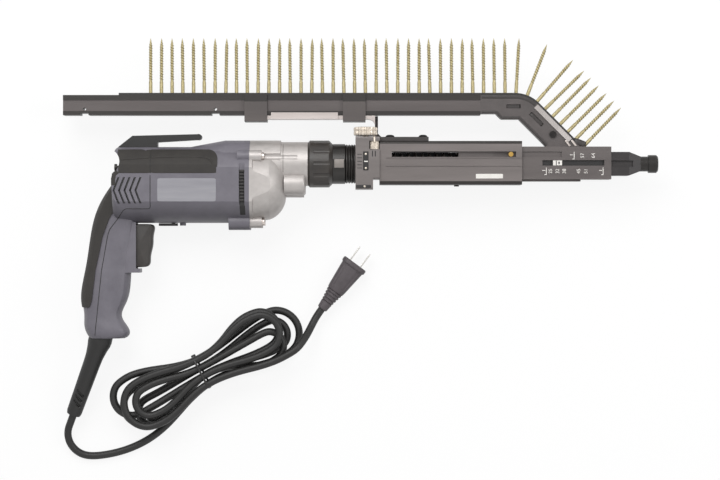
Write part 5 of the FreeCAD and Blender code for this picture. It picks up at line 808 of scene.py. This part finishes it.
# A dull charcoal, a pale metal brushed across the tool, and a black for the feed stop and for painted shade
# on the guide's edges and in its slots.
dress(finish("charcoal moulded guide", "#5a5453", "#4c4746", 16, 0.48, 0.5, 0.02, 0.1), "front_guide")
dress(finish("brushed cover strip", "#bdb7b4", "#a8a29f", 12, 0.4, 0.4, 0.01, 0.45, (1, 0.15, 1)),
      "guide_cover")
guide_shade_and_stop_black = finish("black guide shade and stop", "#3a3534", "#2d2928", 10, 0.46, 0.6, 0.02)
dress(black_oxide, "sprocket_axle")
dress(plated, "feed_sprocket")

guide_face, rim_rise, rim_inset = 0.042, 0.0004, 0.0019


def edge_rim(line, half_width):
    """A rim on the guide's cheek: the corners of its line joined at an even pace, and a
    rounded section carried along them, wide in the cheek's plane and low over it."""
    flat = even_pace(line, 90)
    forward = unit(np.gradient(flat, axis=0))
    across = np.column_stack([-forward[:, 1], forward[:, 0], 0 * forward[:, 0]])
    path = np.column_stack([flat, np.full(len(flat), guide_face)])
    return tubes(path, across, np.broadcast_to(upward, path.shape), half_width, rim_rise)


# Rims of painted shade along the guide's upper and lower edges.
bend = np.radians(np.linspace(90, 48, 10))
bend_middle = np.array([bend_start, rail_top - bend_radius])
bend_line = bend_middle + (bend_radius - rim_inset) * np.column_stack([np.cos(bend), np.sin(bend)])
upper_line = np.concatenate([[(0.1205, rail_top - rim_inset)], bend_line])
lower_line = [(0.1205, 0.0756), (0.1352, 0.0756), (0.1407, 0.0701), (0.1583, 0.0701), (0.1856, 0.0428)]
guide_edge_shade = np.concatenate([edge_rim(upper_line, 0.0018), edge_rim(lower_line, 0.0014)])
closed_shells("guide_edge_shade", mirrored(guide_edge_shade), guide_shade_and_stop_black, body="feed_slide")

# Dark liners of painted shade that fill the guide's slots.
liner_places = [(0.15225, 0.081275, middle_plane), (0.1751, 0.068495, middle_plane)]
liner_halves = [(7.1, 2.05, 6.8), (8.6, 2.05, 6.8)]
block_piece("guide_slot_shade", liner_places, liner_halves, guide_shade_and_stop_black, body="feed_slide",
            turns=[0.0, -math.pi / 4], boxy=0.12)

leaf_columns, leaf_rows, leaf_lean = [567.0, 573.0], [143.6, 143.4], math.radians(38)
leaves = from_frame(leaf_columns, leaf_rows, guide_face + 0.0006)
block_piece("spring_leaves", leaves, (0.9, 3.6, 0.4), plated, "plated_steel", "feed_slide", both=True,
            turns=leaf_lean, boxy=0.15)
stop_pixel, stop_lean = (579.0, 143.4), math.radians(-20)
block_piece("feed_stop", from_frame(*stop_pixel, middle_plane), (6.8, 4, 5.8), guide_shade_and_stop_black,
            body="feed_slide", turns=stop_lean, boxy=0.4)


# Strain relief: a moulded rubber sleeve that leaves the grip's foot, with three pairs of short
# slits near its end so that it bends with the cord.

# A soft black with a low sheen along its curve. The sleeve's lengths are in mm.
rubber = finish("black cord rubber", "#171615", "#100f0e", 10, 0.52, 0.6, 0.03)
boot_root = np.array([-0.25975, -0.14993, 0.034])
boot_way = unit(np.array([-0.34918, -0.90965, -0.22495]))
boot_across = unit(np.cross(boot_way, upward))
boot_start, boot_end, boot_hole, boot_sides = -9, 85, 4, 64
boot_run = np.linspace(boot_start, boot_end, 132)
boot_out = np.interp(
    boot_run, [-9, 2, 6, 12, 20, 28, 50, 82, 85],
    [10.5, 11.9, 11.6, 10.2, 9, 8.6, 8.2, 7.7, 7])
boot_profile = np.column_stack([
    [boot_start, *boot_run, boot_end], [boot_hole, *boot_out, boot_hole]])
# Each slit is a slanted stripe of the run, sunk where it crosses the sleeve's two faces.
slit_start, slit_pitch, slit_slant, slit_sink = 60, 5.5, 4, 0.82
boot_cos = np.cos(round_turn(boot_sides))
slit_run = (boot_profile[:, :1] + slit_slant * boot_cos - slit_start) / slit_pitch
in_slit = (np.abs(slit_run - np.clip(np.round(slit_run), 0, 2)) < 0.2) & (np.abs(boot_cos) < 0.55)
boot_swell = np.where(in_slit, slit_sink, 1.0)
boot_rings = turned_rings(boot_profile, boot_sides, boot_root, boot_way, boot_across, boot_swell)
strain_relief = closed_shells("strain_relief_sleeve", boot_rings, rubber, crease=30)
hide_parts("strain_relief")


# Cord: a round two-core lead sheathed in rubber. It leaves the strain relief, goes round into a hank of
# five turns held by a tie, and comes out at the far end to the plug.
cord_radius = 0.00375
lead_route = [
    (-0.28943, -0.227245, 0.014879), (-0.292642, -0.235614, 0.01281), (-0.29555, -0.243125, 0.011),
    (-0.29585, -0.250525, 0.0092), (-0.29375, -0.257625, 0.0072), (-0.28945, -0.263625, 0.0056),
    (-0.28345, -0.268025, 0.0046), (-0.27635, -0.270225, 0.0042), (-0.26575, -0.270325, 0.0042),
    (-0.24825, -0.267525, 0.0042), (-0.23025, -0.261725, 0.0042), (-0.21325, -0.252925, 0.0042),
    (-0.19825, -0.241125, 0.0042), (-0.18525, -0.227125, 0.0042), (-0.17405, -0.213925, 0.0049),
    (-0.156549, -0.198018, 0.00545),
]
tail_route = [
    (-0.06745, -0.16372, 0.03125), (-0.06075, -0.15723, 0.028), (-0.05455, -0.14813, 0.0209),
    (-0.04955, -0.13833, 0.0138), (-0.04472, -0.12882, 0.0108), (-0.03925, -0.12142, 0.0108),
]
hank_centre = np.array([-0.15575, -0.17993, 0.00545])
hank_angle = math.radians(28)
hank_half_length, length_step = 0.076, 0.003
end_radius, end_step, waist_half, layer_rise = 0.026, 0.0092, 0.0156, 0.0086
hank_turns = 5
climb_turns = np.array([1.5, 2.5, 3.5])
hank_fan = np.array([
    (2, -2.4), (-2, -5), (2, -2), (4, -13), (-9, 6), (-5, 8), (-6, -10), (8, -2.6), (-9, 3), (8, -3),
    (0, 0)]) / 1000


def in_hank(along, rise, height):
    """Places in the hank: along and rise turned by the hank's angle about its centre."""
    cos, sin = math.cos(hank_angle), math.sin(hank_angle)
    return np.column_stack([
        hank_centre[0] + along * cos - rise * sin, hank_centre[1] + along * sin + rise * cos, height])


def hank_points():
    """Control points of the hank, twenty to a turn. In a turn, two ends are round about
    (reach, 0) and (-reach, 0), at radius end / cos 15 degrees, and the runs between them
    draw in to the waist. Each turn lies a step further in, then out, by its inset, which
    folds back at every climb, and each climb lifts it by a layer. Each end is pushed aside
    by its own pair from the fan."""
    end = np.radians([-75, -45, -15, 15, 45, 75])
    half_share = np.concatenate([[0.03, 0.1], 0.25 + np.degrees(end) / 720, [0.4, 0.47]])
    turn_share = np.concatenate([half_share, half_share + 0.5])
    turn = (np.arange(hank_turns)[:, None] + turn_share[None, :]).ravel()
    turn = np.concatenate([turn, hank_turns + turn_share[:2]])
    place = np.arange(len(turn)) % 20
    number = np.arange(len(turn)) // 20
    folds = np.array([0.0, *climb_turns, hank_turns + 1])
    spent = np.clip(turn[:, None] - folds[None, :-1], 0, np.diff(folds)[None, :])
    inset = (spent * np.array([1, -1, 1, -1])).sum(1)
    level = np.clip((turn[:, None] - climb_turns[None, :]) * 4 + 0.5, 0, 1).sum(1)
    reach = hank_half_length - length_step * inset
    loop = end_radius - end_step * inset
    waist = waist_half - end_step * inset
    swell = loop / math.cos(math.radians(15))
    across, swing, rise, side = [np.concatenate([half, -half])[place] for half in np.array([
        [0.22, 0.78, *[1] * 6, 0.78, 0.22], [0, 0, *np.cos(end), 0, 0], [0, 0, *np.sin(end), 0, 0],
        [-1, -1, *[0] * 6, 1, 1]])]
    drawn_in = np.isin(place, [0, 9, 10, 19])
    pushed = hank_fan[np.minimum(2 * number + (place > 9), len(hank_fan) - 1)] * ~drawn_in[:, None]
    rise = rise * swell + side * np.where(drawn_in, waist, loop) + pushed[:, 1]
    along = across * reach + swing * swell + pushed[:, 0]
    return in_hank(along, rise, hank_centre[2] + level * layer_rise)


route = np.concatenate([np.array(lead_route), hank_points(), np.array(tail_route)])
cord_curve = bpy.data.curves.new("mains_cord", "CURVE")
cord_curve.dimensions = "3D"
cord_curve.bevel_depth = cord_radius
cord_curve.bevel_resolution = 5
cord_curve.use_fill_caps = True
cord_spline = cord_curve.splines.new("NURBS")
cord_spline.points.add(len(route) - 1)
cord_spline.points.foreach_set("co", np.column_stack([route, np.ones(len(route))]).ravel())
cord_spline.order_u = 3
cord_spline.use_endpoint_u = True
cord_spline.resolution_u = 6
cord_curve.materials.append(rubber)
cord = add_object("mains_cord", cord_curve)
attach(cord, "tool")
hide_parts("cord_lead", "cord_hank", "cord_tail")


# Tie: a thin band of black nylon, moulded with its lock at one end, drawn round the hank's waist
# and pulled tight.

# Black, a little glossier than the cord, so it shows as a line across it.
tie_nylon = finish("black tie nylon", "#1f1d1c", "#171514", 8, 0.4, 0.6, 0.02)
tie_along, tie_square, tie_half_width, tie_half_thick = -0.006, 0.45, 0.0011, 0.0005
tie_low, tie_high, tie_foot, tie_top = -0.0200, 0.0153, 0.0002, 0.0362
# The band's path is a squared-off ellipse across the hank.
tie_share = np.linspace(0, 2 * math.pi, 121)
tie_rise = (tie_low + tie_high) / 2 + (tie_high - tie_low) / 2 * signed_power(np.cos(tie_share), tie_square)
tie_up = (tie_foot + tie_top) / 2 + (tie_top - tie_foot) / 2 * signed_power(np.sin(tie_share), tie_square)
tie_path = in_hank(tie_along, tie_rise, tie_up)
hank_way = np.broadcast_to([math.cos(hank_angle), math.sin(hank_angle), 0.0], tie_path.shape)
tie_out = unit(np.cross(np.gradient(tie_path, axis=0), hank_way))
tie_rings = tubes(tie_path, hank_way, tie_out, tie_half_width, tie_half_thick, 12)
tie_band = closed_shells("cord_tie_band", tie_rings, tie_nylon, crease=60)
tie_lock = block_piece("cord_tie_lock", tie_path[0], (2.2, 1.9, 3), tie_nylon, turns=hank_angle)
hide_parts("cord_tie")


# Plug: a two-blade plug moulded in grey rubber on the cord's end, with a ribbed neck, a ridge
# down each cheek and a flange round its face. The blades are nickel-plated and rounded at
# their tips.

# A soft mid grey that its ribs shade, and bright smooth metal.
plug_rubber = finish("grey plug rubber", "#565053", "#474144", 10, 0.5, 0.7, 0.03)
blade_metal = finish("nickel-plated blade", "#d8d6d2", "#c2bfba", 4, 0.3, 0.3, 0.006, 0.75)
plug_root = np.array([-0.03925, -0.12142, 0.0108])
plug_way = np.array([0.5948, 0.8039, 0.0])
plug_across = np.array([0.8039, -0.5948, 0.0])
plug_length = 0.057
plug_run = np.linspace(0, plug_length, 229)
plug_stations = [0, 0.0008, 0.008, 0.022, 0.0225, 0.026, 0.0515, 0.052, 0.0530, 0.0560, plug_length]
plug_wide = np.interp(plug_run, plug_stations, [
    0.0046, 0.0052, 0.0060, 0.0086, 0.0088, 0.0094, 0.0121, 0.0128, 0.0134, 0.0134, 0.0126])
plug_thick = np.interp(plug_run, plug_stations, [
    0.0046, 0.0050, 0.0056, 0.0068, 0.0070, 0.0075, 0.0092, 0.0098, 0.0103, 0.0103, 0.0096])
# The neck's ribs are a clipped triangle wave along it, cut into the rubber.
ribs_start, ribs_end, rib_pitch, rib_depth = 0.0085, 0.0221, 0.0034, 0.0009
rib_wave = np.abs(np.mod((plug_run - ribs_start) / rib_pitch, 1) - 0.5) * 2
in_ribs = (plug_run > ribs_start) & (plug_run < ribs_end)
rib_cut = np.where(in_ribs, rib_depth * np.clip(rib_wave * 3 - 1.6, 0, 1), 0)
# Each cheek's ridge is left between two grooves, where the sin is near ridge_sin.
cheek_start, cheek_end, ridge_sin, groove_depth = 0.027, 0.0505, 0.86, 0.0004
plug_cos, plug_sin = np.cos(round_turn(72)), np.sin(round_turn(72))
in_cheek = ((plug_run > cheek_start) & (plug_run < cheek_end))[:, None]
groove = np.where(in_cheek & (np.abs(np.abs(plug_sin) - ridge_sin) < 0.05), groove_depth, 0)
# The section goes from an ellipse at the neck to a squared-off one at the face.
squarer = np.interp(plug_run, [0.02, 0.03], [1.0, 0.62])[:, None]
cut = rib_cut[:, None] + groove
wide = (plug_wide[:, None] - cut) * signed_power(plug_cos, squarer)
thick = (plug_thick[:, None] - cut) * signed_power(plug_sin, squarer)
plug_rings = (plug_root + plug_run[:, None, None] * plug_way + wide[..., None] * plug_across
              + thick[..., None] * upward)
plug = closed_shells("plug_moulding", plug_rings[None], plug_rubber, crease=35)
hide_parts("plug_body")

blade_reach, blade_spread, blade_half = 0.0612, 0.00635, (12.1, 0.8, 3.17)
blade_sides = np.array([-blade_spread, blade_spread])[:, None]
blade_middles = plug_root + blade_reach * plug_way + blade_sides * plug_across
blade_turn = math.atan2(plug_way[1], plug_way[0])
blades = block_piece("plug_blades_rounded", blade_middles, blade_half, blade_metal, "yellow_brass",
                     turns=blade_turn, boxy=0.14, rows=14, sides=28)
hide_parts("plug_blades")
